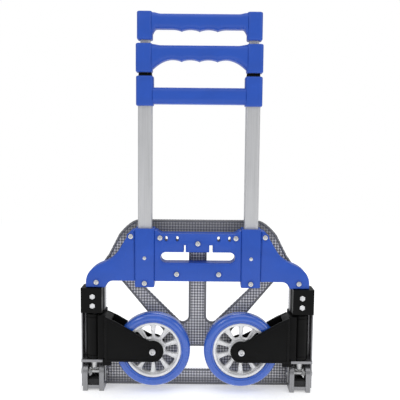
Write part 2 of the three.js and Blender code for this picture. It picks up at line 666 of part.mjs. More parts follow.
function cornerSleeve() {
  const body = box(
    PIVOT_X - CHANNEL_INSIDE / 2 + UPPER_FLANGE_STEP + FIT,
    PIVOT_X + FLANGE_OUT - 1,
    SLEEVE_FRONT,
    WEB_FRONT - FIT,
    SLEEVE_BOTTOM,
    SLEEVE_TOP,
  );
  const depth = TONGUE_HALF_DEPTH + FIT;
  const floor = SLEEVE_BOTTOM + SLEEVE_FLOOR;
  const pocket = box(TONGUE_INNER - FIT, ARM_OUTER + FIT, -depth, depth, floor, SLEEVE_TOP + 1);
  const bore = rod("z", PIVOT_X, 0, SWING_SHAFT_RADIUS + RUNNING, SLEEVE_BOTTOM - 1, floor + 1);
  const bolts = sleeveBoltHeights.map((z) =>
    rod("y", PIVOT_X, z, SLEEVE_BOLT_RADIUS + FIT, SLEEVE_FRONT - 1, CHANNEL_BACK, 8),
  );
  return cut(body, pocket, bore, ...bolts);
}
pair("corner_sleeve", cornerSleeve(), blackPlastic);

const SLEEVE_BOLT_NAMES = ["lower", "upper"];
sleeveBoltHeights.forEach((z, i) => {
  const bolt = screw(PIVOT_X, z, SLEEVE_FRONT - 0.1, 5, SLEEVE_BOLT_RADIUS, CHANNEL_BACK);
  pair(`sleeve_bolt_${SLEEVE_BOLT_NAMES[i]}`, bolt, zinc);
});

const BUSH_RADIUS = 8;

// The inner flange's foot, rounded about the hinge so that the toe plate's foot swings past it.
function hingeEar() {
  const ear = new THREE.Shape();
  const start = Math.PI + Math.acos(-CHANNEL_FRONT / CHANNEL_BACK);
  ear.moveTo(CHANNEL_BACK, SHELF_TOP);
  ear.lineTo(CHANNEL_FRONT, SHELF_TOP);
  ear.absarc(0, HINGE_HEIGHT, CHANNEL_BACK, start, 2 * Math.PI, false);
  return ear;
}

// Web and flanges of bent sheet, open towards the wheel side, with a shelf under the fork.
function cornerChannel() {
  const out = FLANGE_OUT;
  const inn = CHANNEL_INSIDE / 2;
  const x = PIVOT_X;
  const web = box(x - out, x + out, WEB_FRONT, CHANNEL_BACK, SHELF_BOTTOM, SLEEVE_BOTTOM + 2);
  const [left, right] = [x - out + UPPER_FLANGE_STEP, x + out - UPPER_FLANGE_STEP];
  const webUpper = box(left, right, WEB_FRONT, CHANNEL_BACK, SLEEVE_BOTTOM + 1, SLEEVE_TOP);
  const outer = box(x + inn, x + out, CHANNEL_FRONT, CHANNEL_BACK, FLANGE_BOTTOM, FORK_TOP + 2);
  const innerUpper = box(left, left + SHEET, UPPER_FLANGE_FRONT, CHANNEL_BACK, SLEEVE_BOTTOM + 1, SLEEVE_TOP);
  const innerLower = prism(hingeEar(), "x", x - out, x - inn);
  const shelf = box(x - out, x + out, CHANNEL_FRONT - 4, CHANNEL_BACK, SHELF_BOTTOM, SHELF_TOP);
  const pin = rod("x", 0, HINGE_HEIGHT, HINGE_PIN_RADIUS + RUNNING, x - out - 1, x + out + 1, 16);
  const bush = rod("z", x, 0, BUSH_RADIUS + FIT, SHELF_BOTTOM - 1, SHELF_TOP + 1, 16);
  const bolts = sleeveBoltHeights.map((z) =>
    rod("y", x, z, SLEEVE_BOLT_RADIUS + FIT, WEB_FRONT - 1, CHANNEL_BACK + 1, 8),
  );
  return cut(join(web, webUpper, outer, innerUpper, innerLower, shelf), pin, bush, ...bolts);
}
pair("corner_channel", cornerChannel(), channelMetal);

// Flanged bush that the fork stands and turns on.
const swingBush = turned(
  [
    [SWING_SHAFT_RADIUS + RUNNING, SHELF_BOTTOM + 0.2],
    [BUSH_RADIUS, SHELF_BOTTOM + 0.2],
    [BUSH_RADIUS, SHELF_TOP + FIT],
    [BARREL_RADIUS - 2, SHELF_TOP + FIT],
    [BARREL_RADIUS - 2, FORK_BOTTOM - FIT],
    [SWING_SHAFT_RADIUS + RUNNING, FORK_BOTTOM - FIT],
    [SWING_SHAFT_RADIUS + RUNNING, SHELF_BOTTOM + 0.2],
  ],
  "z",
  PIVOT_X,
  0,
  16,
);
pair("swing_bush", swingBush, blackPlastic);

// ---------------------------------------------------------------- bevel gears

// A straight bevel gear's teeth about +Z with the cones' tip at the origin: the toothed outline of
// the large end, shrunk in proportion to its distance from the tip.
function bevelTeeth(phase) {
  const module = (2 * GEAR_PITCH_RADIUS) / GEAR_TEETH;
  const tip = GEAR_PITCH_RADIUS + 0.75 * module;
  const root = GEAR_PITCH_RADIUS - 1.05 * module;
  const pitch = (2 * Math.PI) / GEAR_TEETH;
  const outline = [];
  for (let i = 0; i < GEAR_TEETH; i++) {
    const middle = (i + phase) * pitch;
    const corners = [
      [root, -0.36],
      [tip, -0.11],
      [tip, 0.11],
      [root, 0.36],
    ];
    corners.forEach(([r, share]) => {
      const angle = middle + share * pitch;
      outline.push([r * Math.cos(angle), r * Math.sin(angle)]);
    });
  }
  const n = outline.length;
  const near = GEAR_INNER_SHARE;
  const positions = [0, 0, near * GEAR_PITCH_RADIUS, 0, 0, GEAR_PITCH_RADIUS];
  outline.forEach(([x, y]) => positions.push(x * near, y * near, near * GEAR_PITCH_RADIUS));
  outline.forEach(([x, y]) => positions.push(x, y, GEAR_PITCH_RADIUS));
  const index = [];
  for (let i = 0; i < n; i++) {
    const j = (i + 1) % n;
    const [a, b, c, d] = [2 + i, 2 + j, 2 + n + j, 2 + n + i];
    index.push(0, b, a, 1, d, c, a, b, c, a, c, d);
  }
  const geometry = new THREE.BufferGeometry();
  geometry.setAttribute("position", new THREE.Float32BufferAttribute(positions, 3));
  geometry.setIndex(index);
  return geometry;
}

// The upright shaft that turns with a fork, its bevel gear at the foot.
function swingShaft() {
  const gear = solid(bevelTeeth(0).translate(PIVOT_X, 0, HINGE_HEIGHT));
  const top = SLEEVE_BOTTOM + SLEEVE_FLOOR - 1;
  const shaftFoot = HINGE_HEIGHT + GEAR_PITCH_RADIUS - 0.5;
  return join(gear, rod("z", PIVOT_X, 0, SWING_SHAFT_RADIUS, shaftFoot, top, 16));
}
pair("swing_shaft", swingShaft(), gearSteel);

// The hinge pin that turns with the toe plate, its bevel gear towards the outside of the truck.
function toeGearShaft() {
  const teeth = bevelTeeth(0.5);
  const turn = new THREE.Matrix4().makeBasis(
    new THREE.Vector3(0, 0, 1),
    new THREE.Vector3(0, -1, 0),
    new THREE.Vector3(1, 0, 0),
  );
  teeth.applyMatrix4(turn).translate(PIVOT_X, 0, HINGE_HEIGHT);
  const hubStart = PIVOT_X + GEAR_PITCH_RADIUS - 0.5;
  const hubEnd = PIVOT_X + CHANNEL_INSIDE / 2 - 0.8 - CHEEK_THICKNESS - FIT;
  const outside = PIVOT_X + FLANGE_OUT + FIT;
  return join(
    solid(teeth),
    rod("x", 0, HINGE_HEIGHT, 5.5, hubStart, hubEnd, 16),
    rod("x", 0, HINGE_HEIGHT, HINGE_PIN_RADIUS, PIVOT_X - FLANGE_OUT - 1.5, outside + 1, 16),
    rod("x", 0, HINGE_HEIGHT, 5, outside, outside + 1.5, 16),
  );
}
pair("toe_gear_shaft", toeGearShaft(), gearSteel);

// ---------------------------------------------------------------- toe plate and brackets

const CHEEK_OUT = CHANNEL_INSIDE / 2 - 0.8; // a cheek's outer face, from the pivot
const CHEEK_IN = CHEEK_OUT - CHEEK_THICKNESS;
const BRACKET_BACK = TOE_PLATE_FACE - FIT;
const RUNG_BOTTOM = 3;
const RUNG_TOP = 9.5;

// Two cheeks on the hinge pin, joined by a back plate and a rung at the foot.
function toeBracket() {
  const side = new THREE.Shape();
  side.moveTo(-CHEEK_RADIUS, 0);
  side.lineTo(BRACKET_BACK, 0);
  side.lineTo(BRACKET_BACK, HINGE_HEIGHT + CHEEK_RADIUS);
  side.lineTo(0, HINGE_HEIGHT + CHEEK_RADIUS);
  side.absarc(0, HINGE_HEIGHT, CHEEK_RADIUS, Math.PI / 2, Math.PI, false);
  const x = PIVOT_X;
  const back = [BRACKET_BACK - 3.2, BRACKET_BACK];
  const body = join(
    prism(side, "x", x - CHEEK_OUT, x - CHEEK_IN, 8),
    prism(side, "x", x + CHEEK_IN, x + CHEEK_OUT, 8),
    box(x - CHEEK_OUT, x + CHEEK_OUT, ...back, 0, HINGE_HEIGHT + CHEEK_RADIUS),
    box(x - CHEEK_OUT, x + CHEEK_OUT, -CHEEK_RADIUS + 2, 10, RUNG_BOTTOM, RUNG_TOP),
  );
  const pin = rod("x", 0, HINGE_HEIGHT, HINGE_PIN_RADIUS + FIT, x - FLANGE_OUT, x + FLANGE_OUT, 16);
  return cut(body, pin);
}
pair("toe_bracket", toeBracket(), channelMetal);

const bumper = box(
  PIVOT_X - CHEEK_IN + FIT,
  PIVOT_X + CHEEK_IN - FIT,
  -CHEEK_RADIUS + 3,
  10,
  RUNG_TOP + FIT,
  RUNG_TOP + 10,
);
pair("toe_bumper", bumper, rubberBlack);

// Right-hand half of the plate: chamfered shoulders, then straight sides down to the foot.
function toePlate() {
  const top = TOE_PLATE_HEIGHT;
  const sideTop = top - TOE_SHOULDER_DROP;
  const shoulder = sideTop + 58; // where the chamfer levels out towards the top edge
  const half = new THREE.Shape();
  half.moveTo(0, 0);
  half.lineTo(TOE_HALF_WIDTH, 0);
  half.lineTo(TOE_HALF_WIDTH, sideTop);
  half.lineTo(PIVOT_X - 18, shoulder);
  half.lineTo(TOE_TOP_HALF_WIDTH + 33, shoulder + 41);
  half.quadraticCurveTo(TOE_TOP_HALF_WIDTH + 12, top, TOE_TOP_HALF_WIDTH - 4, top);
  half.lineTo(0, top);
  const face = TOE_PLATE_FACE;
  const back = TOE_PLATE_FACE + TOE_PLATE_THICKNESS;
  const plate = prism(mirrored(half.getPoints(5)), "y", face, back);
  return cut(plate, ...toeWindows().map((w) => prism(w, "y", face - 1, back + 1)));
}

// The openings: a tall pair beside the spine, a pair outside the diagonals, one over the foot.
function toeWindows() {
  const spine = TOE_SPINE_WIDTH / 2;
  const side = TOE_HALF_WIDTH - TOE_SIDE_BAND;
  const top = TOE_PLATE_HEIGHT - TOE_TOP_BAND;
  const diagonalTop = TOE_PLATE_HEIGHT - DIAGONAL_TOP_DROP;
  const diagonalStart = spine + 44; // where the outer window's corner lies
  const sill = 2 * TOE_FOOT_HEIGHT + 4; // the outer windows' lower edge
  const inner = [
    [spine, top],
    [spine, DIAGONAL_LOW + DIAGONAL_RISE + 6],
    [spine + 6, DIAGONAL_LOW + DIAGONAL_RISE],
    [spine + 14, DIAGONAL_LOW + DIAGONAL_RISE],
    [side - 29, diagonalTop + 1],
    [side - 56, top],
  ];
  const outer = [
    [side, sill],
    [side, diagonalTop],
    [side - 4, diagonalTop],
    [diagonalStart, DIAGONAL_LOW],
    [diagonalStart + 2, DIAGONAL_LOW - 8],
    [diagonalStart + 14, sill],
  ];
  const foot = [
    [-50, TOE_FOOT_HEIGHT],
    [50, TOE_FOOT_HEIGHT],
    [24, FOOT_WINDOW_TOP],
    [-24, FOOT_WINDOW_TOP],
  ];
  const flipped = (points) => points.map(([x, z]) => [-x, z]);
  return [inner, flipped(inner), outer, flipped(outer), foot].map((points) => {
    return new THREE.Shape(points.map(([x, z]) => new THREE.Vector2(x, z)));
  });
}
add("toe_plate", toePlate(), meshPlate);

// ---------------------------------------------------------------- forks, axles and wheels

// A fork arm seen along its axle: the round end on the axle, rising to the web and barrel.
function armOutline() {
  const shape = new THREE.Shape();
  const webX = PIVOT_X - BARREL_OFFSET;
  shape.moveTo(webX, FORK_BOTTOM);
  shape.lineTo(webX, FORK_TOP);
  shape.lineTo(WEB_INNER_X + ARM_HEEL, FORK_TOP);
  shape.lineTo(WEB_INNER_X - 4, FORK_TOP - 6.5);
  shape.lineTo(AXLE_X + 31, FORK_TOP - 27);
  shape.quadraticCurveTo(AXLE_X + 18, AXLE_Z + 24, AXLE_X + 5, AXLE_Z + ARM_END_RADIUS - 0.7);
  shape.absarc(AXLE_X, AXLE_Z, ARM_END_RADIUS, 0.42 * Math.PI, 1.5 * Math.PI, false);
  return shape;
}

function wheelFork() {
  const arms = prism(armOutline(), "y", FORK_FRONT, FORK_BACK, 10);
  const wheelRoom = box(
    AXLE_X - 2 * ARM_END_RADIUS,
    WEB_INNER_X,
    WHEEL_ROOM_FRONT,
    WHEEL_ROOM_BACK,
    FORK_BOTTOM - 1,
    FORK_TOP + 1,
  );
  const setback = box(
    WEB_INNER_X + ARM_HEEL,
    PIVOT_X,
    FORK_FRONT - 1,
    FORK_FRONT + WEB_SETBACK,
    FORK_BOTTOM - 1,
    FORK_TOP + 1,
  );
  const barrel = rod("z", PIVOT_X, 0, BARREL_RADIUS, FORK_BOTTOM, FORK_TOP, 32);
  const lugFront = FORK_FRONT + 8; // the stop that hangs under the web
  const lug = box(PIVOT_X - 32, PIVOT_X - 17, lugFront, lugFront + 8, FORK_BOTTOM - 9, FORK_BOTTOM + 2);
  const bore = rod("z", PIVOT_X, 0, SWING_SHAFT_RADIUS + FIT, FORK_BOTTOM - 1, FORK_TOP + 1, 16);
  const axle = rod("y", AXLE_X, AXLE_Z, AXLE_RADIUS + FIT, FORK_FRONT - 1, FORK_BACK + 1, 16);
  return cut(join(cut(arms, wheelRoom, setback), barrel, lug), bore, axle);
}
pair("wheel_fork", wheelFork(), blackPlastic);

const NUT_THICKNESS = 4.5;

pair(
  "axle_bolt",
  turned(
    [
      [0, HEAD_FRONT],
      [4, HEAD_FRONT],
      [5.4, HEAD_FRONT + 1.4],
      [5.4, FORK_FRONT - 0.1],
      [AXLE_RADIUS, FORK_FRONT - 0.1],
      [AXLE_RADIUS, FORK_BACK + NUT_THICKNESS],
      [0, FORK_BACK + NUT_THICKNESS],
    ],
    "y",
    AXLE_X,
    AXLE_Z,
    12,
  ),
  zinc,
);

const hexagon = Array.from({ length: 6 }, (_, i) => {
  const angle = (i * Math.PI) / 3;
  return new THREE.Vector2(AXLE_X + 7 * Math.cos(angle), AXLE_Z + 7 * Math.sin(angle));
});
pair(
  "axle_nut",
  cut(
    prism(hexagon, "y", FORK_BACK + 0.1, FORK_BACK + NUT_THICKNESS - 0.3),
    rod("y", AXLE_X, AXLE_Z, AXLE_RADIUS + 0.1, FORK_BACK - 1, FORK_BACK + NUT_THICKNESS + 1, 16),
  ),
  zinc,
);

const WHEEL_BUSH_RADIUS = 8;

pair(
  "wheel_bush",
  cut(
    rod("y", AXLE_X, AXLE_Z, WHEEL_BUSH_RADIUS, WHEEL_ROOM_FRONT + 0.2, WHEEL_ROOM_BACK - 0.2, 16),
    rod("y", AXLE_X, AXLE_Z, AXLE_RADIUS + 0.1, FORK_FRONT, FORK_BACK, 16),
  ),
  gearSteel,
);

// Hub, dished disc with windows, and the rim that carries the tyre.
function rim() {
  const halfWidth = WHEEL_WIDTH / 2;
  const y = (offset) => WHEEL_Y + offset;
  const bore = WHEEL_BUSH_RADIUS + RUNNING;
  const profile = [
    [bore, y(-halfWidth)],
    [HUB_RADIUS, y(-halfWidth)],
    [HUB_RADIUS + 1.5, y(-5)],
    [RIM_RADIUS - 6, y(-5)],
    [RIM_RADIUS - 3.5, y(-halfWidth + 2)],
    [RIM_RADIUS, y(-halfWidth + 2)],
    [RIM_RADIUS, y(halfWidth - 2)],
    [RIM_RADIUS - 3.5, y(halfWidth - 2)],
    [RIM_RADIUS - 6, y(5)],
    [HUB_RADIUS + 1.5, y(5)],
    [HUB_RADIUS, y(halfWidth)],
    [bore, y(halfWidth)],
    [bore, y(-halfWidth)],
  ];
  const inner = HUB_RADIUS + 8;
  const outer = RIM_RADIUS - 7;
  const halfAngle = (0.33 * 2 * Math.PI) / RIM_WINDOWS;
  const windows = Array.from({ length: RIM_WINDOWS }, (_, i) => {
    const middle = (2 * Math.PI * (i + 0.5)) / RIM_WINDOWS + Math.PI / RIM_WINDOWS;
    const corners = [
      [inner, -halfAngle],
      [outer, -halfAngle],
      [outer + 1, 0],
      [outer, halfAngle],
      [inner, halfAngle],
    ];
    const outline = corners.map(([r, a]) => {
      const angle = middle + a;
      return new THREE.Vector2(AXLE_X + r * Math.cos(angle), AXLE_Z + r * Math.sin(angle));
    });
    return prism(outline, "y", WHEEL_Y - halfWidth, WHEEL_Y + halfWidth);
  });
  return cut(turned(profile, "y", AXLE_X, AXLE_Z), ...windows);
}
pair("wheel_rim", rim(), rimSilver);

function tyre() {
  const seat = RIM_RADIUS + FIT;
  const halfWidth = WHEEL_WIDTH / 2;
  const shoulder = WHEEL_RADIUS - 5;
  const section = [
    [seat, -halfWidth + 1],
    [seat + 3, -halfWidth],
    [shoulder, -halfWidth + 1.5],
    [WHEEL_RADIUS - 1.5, -halfWidth * 0.6],
    [WHEEL_RADIUS, -halfWidth * 0.25],
    [WHEEL_RADIUS, halfWidth * 0.25],
    [WHEEL_RADIUS - 1.5, halfWidth * 0.6],
    [shoulder, halfWidth - 1.5],
    [seat + 3, halfWidth],
    [seat, halfWidth - 1],
    [seat, -halfWidth + 1],
  ];
  return turned(section.map(([r, h]) => [r, WHEEL_Y + h]), "y", AXLE_X, AXLE_Z);
}
pair("tyre", tyre(), tyreBlue);

export default truck;
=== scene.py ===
"""Folding hand truck: moulded handle bars, chassis, wheels, toe plate and their finishes.

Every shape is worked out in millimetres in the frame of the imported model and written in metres.
"""

import math

import bmesh
import bpy
import numpy as np
from mathutils import Matrix, Vector
from mathutils.geometry import tessellate_polygon


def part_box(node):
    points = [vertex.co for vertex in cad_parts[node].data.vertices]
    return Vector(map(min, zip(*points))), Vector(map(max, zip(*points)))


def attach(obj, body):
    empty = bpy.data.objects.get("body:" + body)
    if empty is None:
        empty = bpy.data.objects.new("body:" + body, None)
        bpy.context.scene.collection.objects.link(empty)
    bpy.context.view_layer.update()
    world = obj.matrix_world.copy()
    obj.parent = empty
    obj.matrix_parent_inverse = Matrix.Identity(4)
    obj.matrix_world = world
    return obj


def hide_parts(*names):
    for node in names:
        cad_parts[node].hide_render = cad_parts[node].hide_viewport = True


bl_info = {
    "name": "Folding hand truck",
    "version": (1, 0, 0),
    "blender": (4, 5, 0),
    "location": "View3D > Sidebar > Hand truck",
    "description": "Builds the visible pieces and finishes of a folding hand truck on its CAD frame",
    "category": "Object",
}

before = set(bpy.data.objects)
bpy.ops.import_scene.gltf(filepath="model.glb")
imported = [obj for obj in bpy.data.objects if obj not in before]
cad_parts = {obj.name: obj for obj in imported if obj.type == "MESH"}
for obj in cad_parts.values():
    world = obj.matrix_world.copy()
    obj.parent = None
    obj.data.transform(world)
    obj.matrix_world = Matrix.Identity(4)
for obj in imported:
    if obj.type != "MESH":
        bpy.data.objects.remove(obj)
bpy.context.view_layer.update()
MM = 0.001
SIDES = (("right", 1), ("left", -1))


def span(node):
    """Lowest and highest corner of a CAD node, in millimetres."""
    low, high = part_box(node)
    return np.array(low) / MM, np.array(high) / MM


# ------------------------ places taken from the frame

TUBE_LOW, TUBE_HIGH = span("outer_tube_right")
COLUMN_X, COLUMN_Y = (TUBE_LOW + TUBE_HIGH)[:2] / 2
SHELL_LOW, SHELL_HIGH = span("chassis_shell_back")
CORNER_TOP = span("corner_sleeve_right")[1][2]
PIVOT_X = sum(span("swing_shaft_right"))[0] / 2
FORK_LOW, FORK_HIGH = span("wheel_fork_right")
TYRE_LOW, TYRE_HIGH = span("tyre_right")
AXLE_X, WHEEL_Y, AXLE_Z = (TYRE_LOW + TYRE_HIGH) / 2
TYRE_HALF, WHEEL_RADIUS = (TYRE_HIGH - TYRE_LOW)[1:] / 2
RIM_RADIUS = np.ptp(span("wheel_rim_right"), axis=0)[2] / 2
PLATE_LOW, PLATE_HIGH = span("toe_plate")

FIT = 0.3  # clearance between pieces that touch
RUNNING = 0.4  # clearance round a tube that slides


# ------------------------ sizes and colours


def length(name, description, default):
    """A length property given in millimetres."""
    return bpy.props.FloatProperty(
        name=name, description=description, default=default * MM, min=0.0, unit="LENGTH", precision=4
    )


def colour(name, description, default):
    """A colour property in linear RGB."""
    return bpy.props.FloatVectorProperty(
        name=name, description=description, default=default, size=3, min=0.0, max=1.0, subtype="COLOR"
    )


class TruckSizes(bpy.types.PropertyGroup):
    """Sizes of the details that the looks add to the frame."""

    bar_edge: length("Bar edge", "Rounding of the handle bars' sleeves", 2.6)
    finger_depth: length("Finger depth", "Depth of the finger hollows under the bars", 3.2)
    chassis_edge: length("Chassis edge", "Rounding along the chassis shells' outer faces", 2.2)
    slot_lip: length("Slot lip", "Height of the lip round the chassis slot", 0.9)
    fork_edge: length("Fork edge", "Rounding along the fork arms", 1.6)
    rib_height: length("Rib height", "Height of the ribs on the fork arms", 0.9)
    mesh_pitch: length("Mesh pitch", "Pitch of the toe plate's diamond pattern", 4.9)
    rim_bead: length("Rim bead", "Height of the pressed bead along the toe plate's edges", 0.8)


class TruckColours(bpy.types.PropertyGroup):
    """Base colours of the finishes."""

    blue_plastic: colour("Blue plastic", "Bars and chassis", (0.021, 0.086, 0.46))
    tyre_blue: colour("Tyre", "Polyurethane tread", (0.020, 0.105, 0.52))
    black_plastic: colour("Black plastic", "Corner sleeves, forks and collars", (0.0025, 0.0025, 0.0025))
    anodised: colour("Columns", "Anodised tubes", (0.60, 0.60, 0.61))
    sheet: colour("Sheet", "Channels and brackets", (0.30, 0.30, 0.31))
    mesh_light: colour("Mesh ridges", "Raised lines of the toe plate's pattern", (0.70, 0.69, 0.70))
    mesh_dark: colour("Mesh hollows", "Hollows of the toe plate's pattern", (0.17, 0.17, 0.185))
    rim_silver: colour("Rim", "Silver lacquer of the rims", (0.86, 0.86, 0.87))


# ------------------------ outlines


def curve(a, control, b, steps=8):
    """Quadratic curve from a to b: (1-t)^2 a + 2t(1-t) control + t^2 b."""
    t = np.linspace(0, 1, steps + 1)[:, None]
    return (1 - t) ** 2 * np.array(a) + 2 * t * (1 - t) * np.array(control) + t**2 * np.array(b)


def arc(cx, cy, radius, start, end, steps=12):
    """Points on a circle from one angle to another, in degrees."""
    t = np.radians(np.linspace(start, end, steps + 1))
    return np.stack([cx + radius * np.cos(t), cy + radius * np.sin(t)], 1)


def tidy(points):
    """The outline as one array, without points that repeat the one before."""
    points = np.concatenate([np.atleast_2d(np.array(p, float)) for p in points])
    gap = np.linalg.norm(points - np.roll(points, 1, 0), axis=1)
    return points[gap > 1e-4]


def rounded(corners, radius, steps=4):
    """A polygon with each corner replaced by a quadratic curve whose control point is the corner,
    starting and ending radius away from it, or half-way along a shorter side."""
    p = np.array(corners, float)
    back, ahead = np.roll(p, 1, 0) - p, np.roll(p, -1, 0) - p
    lb, la = np.linalg.norm(back, axis=1), np.linalg.norm(ahead, axis=1)
    cut = np.minimum(radius, np.minimum(lb, la) * 0.49)[:, None]
    a, b = p + back / lb[:, None] * cut, p + ahead / la[:, None] * cut
    t = np.linspace(0, 1, steps + 1)[None, :, None]
    loops = (1 - t) ** 2 * a[:, None] + 2 * t * (1 - t) * p[:, None] + t**2 * b[:, None]
    return tidy([loops.reshape(-1, 2)])


def block(cx, cy, width, depth, radius, steps=6):
    """A rounded rectangle whose corners are quarter circles, always with the same point count."""
    radius = max(min(radius, width / 2 - 0.01, depth / 2 - 0.01), 0.01)
    t = np.radians(np.linspace(0, 90, steps + 1))[None] + np.radians([0, 90, 180, 270])[:, None]
    sx = np.array([1, -1, -1, 1])[:, None] * (width / 2 - radius)
    sy = np.array([1, 1, -1, -1])[:, None] * (depth / 2 - radius)
    return np.stack([cx + sx + radius * np.cos(t), cy + sy + radius * np.sin(t)], -1).reshape(-1, 2)


def mirrored(half):
    """A half outline, from the middle outwards, followed by its mirror image in reverse."""
    half = np.array(half, float)
    return tidy([half, (half * [-1, 1])[::-1]])


def area(loop):
    """Signed area: half the sum of x times the next y minus the next x times y."""
    after = np.roll(loop, -1, 0)
    return 0.5 * float(np.sum(loop[:, 0] * after[:, 1] - after[:, 0] * loop[:, 1]))


def inward(loop):
    """Mitred unit normals that point into the material on an anticlockwise loop: the sum of both
    neighbouring edges' left normals, divided by one plus their dot product."""
    d = np.roll(loop, -1, 0) - loop
    d /= np.maximum(np.linalg.norm(d, axis=1), 1e-9)[:, None]
    after = np.stack([-d[:, 1], d[:, 0]], 1)
    before = np.roll(after, 1, 0)
    scale = 1 + np.sum(after * before, 1)
    return (after + before) / np.maximum(scale, 0.35)[:, None]


# ------------------------ surfaces

AXIS_ORDER = {"y": (0, 2, 1), "z": (0, 1, 2)}
ROOT = 0.5  # how far a rib is sunk into the face it stands on


def along(loop, depth, axis):
    """Plane points and a depth put in space: (x, z) along y, or (x, y) along z."""
    flat = np.concatenate([loop, np.broadcast_to(depth, loop.shape[:-1])[..., None]], -1)
    return flat[..., AXIS_ORDER[axis]]


def strip_faces(rows, columns, start=0, wrap_rows=False):
    """Quads between neighbouring rows of points, each row closed on itself; start is the number of
    the first point, and wrap_rows joins the last row to the first."""
    r, c = np.meshgrid(np.arange(rows if wrap_rows else rows - 1), np.arange(columns), indexing="ij")
    r2, c2 = (r + 1) % rows, (c + 1) % columns
    quads = np.stack([r * columns + c, r * columns + c2, r2 * columns + c2, r2 * columns + c], -1)
    return (quads.reshape(-1, 4) + start).tolist()


def loft(rows, wrap=False):
    """A surface carried from row to row, (rows, points, 3); its two ends are closed by flat faces
    unless the last row joins the first."""
    rows = np.asarray(rows, float)
    m, n = rows.shape[:2]
    faces = strip_faces(m, n, 0, wrap)
    if not wrap:
        faces += [list(range(n)), list(range((m - 1) * n, m * n))]
    return rows.reshape(-1, 3), faces


def moulding(outline, holes, low, high, edge_low, edge_high, axis="y", steps=3):
    """A slab between two depths whose outline and holes are rounded over at both faces. On the way
    through the edge at angle a the loop moves in by edge (1 - sin a) while the depth runs
    edge (1 - cos a) from the face. The faces between the loops are filled flat."""
    a = np.radians(np.linspace(0, 90, steps + 1))
    inset = np.concatenate([edge_low * (1 - np.sin(a)), edge_high * (1 - np.sin(a[::-1]))])
    depth = np.concatenate([low + edge_low * (1 - np.cos(a)), high - edge_high * (1 - np.cos(a[::-1]))])
    points, faces, first, last = [], [], [], []
    count = 0
    for i, loop in enumerate([outline, *holes]):
        if (area(loop) > 0) != (i == 0):
            loop = loop[::-1]
        moved = loop[None] + inset[:, None, None] * inward(loop)[None]
        rows = along(moved, depth[:, None], axis)
        points.append(rows.reshape(-1, 3))
        n = len(loop)
        faces += strip_faces(len(rows), n, count)
        first.append((count, moved[0]))
        last.append((count + (len(rows) - 1) * n, moved[-1]))
        count += len(rows) * n
    for loops in (first, last):
        index = np.concatenate([start + np.arange(len(p)) for start, p in loops])
        flat = [[Vector((x, y, 0)) for x, y in p] for _, p in loops]
        faces += [[int(index[k]) for k in tri] for tri in tessellate_polygon(flat)]
    return np.concatenate(points), faces


def bead(loop, offset, width, base, height, steps=6):
    """A half-round rib along a closed outline in the x-z plane: its section runs from offset to
    offset + width into the material, rises by height times the sine of the way across, and has one
    point sunk below its base."""
    if area(loop) < 0:
        loop = loop[::-1]
    t = np.linspace(0, np.pi, steps + 1)
    across = np.append(offset + width * (1 - np.cos(t)) / 2, offset + width / 2)
    rise = np.append(base + height * np.sin(t), base - np.sign(height) * ROOT)
    rows = along(loop[None] + across[:, None, None] * inward(loop)[None], rise[:, None], "y")
    return loft(rows, wrap=True)


def lathe(profile, axis, cx, cy, segments=48, shape=None):
    """A profile of (radius, height) turned about an axis: the point at angle t is
    (cx + r cos t, cy + r sin t), with r times shape(t) where a shape is given."""
    profile = np.array(profile, float)
    t = np.linspace(0, 2 * np.pi, segments, endpoint=False)
    r = profile[:, :1] * np.ones_like(t)
    if shape is not None:
        r = r * shape(profile, t)
    flat = np.stack([cx + r * np.cos(t), cy + r * np.sin(t)], -1)
    closed = np.allclose(profile[0], profile[-1])
    last = -1 if closed else None
    rows = along(flat[:last], profile[:last, 1:], axis)
    return loft(rows, wrap=closed)


def hexagon(profile, t):
    """Radius factor of a hexagon: cos 30 over cos of the angle from the nearest flat's middle."""
    twelfth = math.pi / 6
    return (math.cos(twelfth) / np.cos((t + twelfth) % (2 * twelfth) - twelfth))[None]


def smooth(value, low, high):
    """Zero below low, one above high, and 3t^2 - 2t^3 between."""
    t = np.clip((value - low) / (high - low), 0, 1)
    return t * t * (3 - 2 * t)


def mirror_x(part):
    """The mirror image of a surface across the middle plane."""
    points, faces = part
    return points * [-1, 1, 1], faces


# ------------------------ pieces


def piece(name, parts, coat, body, nodes=(), slot=None, sharp=38):
    """One object made of closed surfaces, riding on a CAD body and standing for CAD nodes."""
    points, faces, start = [], [], 0
    for p, f in parts:
        points.append(p)
        faces += [[k + start for k in face] for face in f]
        start += len(p)
    mesh = bpy.data.meshes.new(name)
    mesh.from_pydata((np.concatenate(points) * MM).tolist(), [], faces)
    finish_mesh(mesh, sharp)
    return place(name, mesh, coat, body, nodes, slot)


def pair(name, parts, coat, body, node, slot, sharp=38):
    """A right-hand piece and its mirror image on the left. The names of the piece and of its CAD
    node end in the side, and the body's name may hold it."""
    for side, sign in SIDES:
        shape = parts if sign > 0 else [mirror_x(part) for part in parts]
        piece(f"{name}_{side}", shape, coat, body.format(side), [f"{node}_{side}"], slot, sharp)


def shade(mesh, sharp):
    """Shades a mesh smooth, with sharp edges above the given angle."""
    mesh.shade_smooth()
    mesh.set_sharp_from_angle(angle=math.radians(sharp))


def finish_mesh(mesh, sharp):
    """Merges doubled points, turns the faces outwards and shades the mesh."""
    work = bmesh.new()
    work.from_mesh(mesh)
    bmesh.ops.remove_doubles(work, verts=work.verts, dist=1e-6)
    bmesh.ops.dissolve_degenerate(work, edges=work.edges, dist=1e-7)
    bmesh.ops.recalc_face_normals(work, faces=work.faces)
    work.to_mesh(mesh)
    work.free()
    shade(mesh, sharp)


def place(name, mesh, coat, body, nodes, slot):
    """Links a finished piece, hangs it on its body and hides the CAD nodes it stands for."""
    mesh.materials.append(finish(coat))
    obj = bpy.data.objects.new(name, mesh)
    bpy.context.scene.collection.objects.link(obj)
    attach(obj, body)
    if nodes:
        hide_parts(*nodes)
    return obj


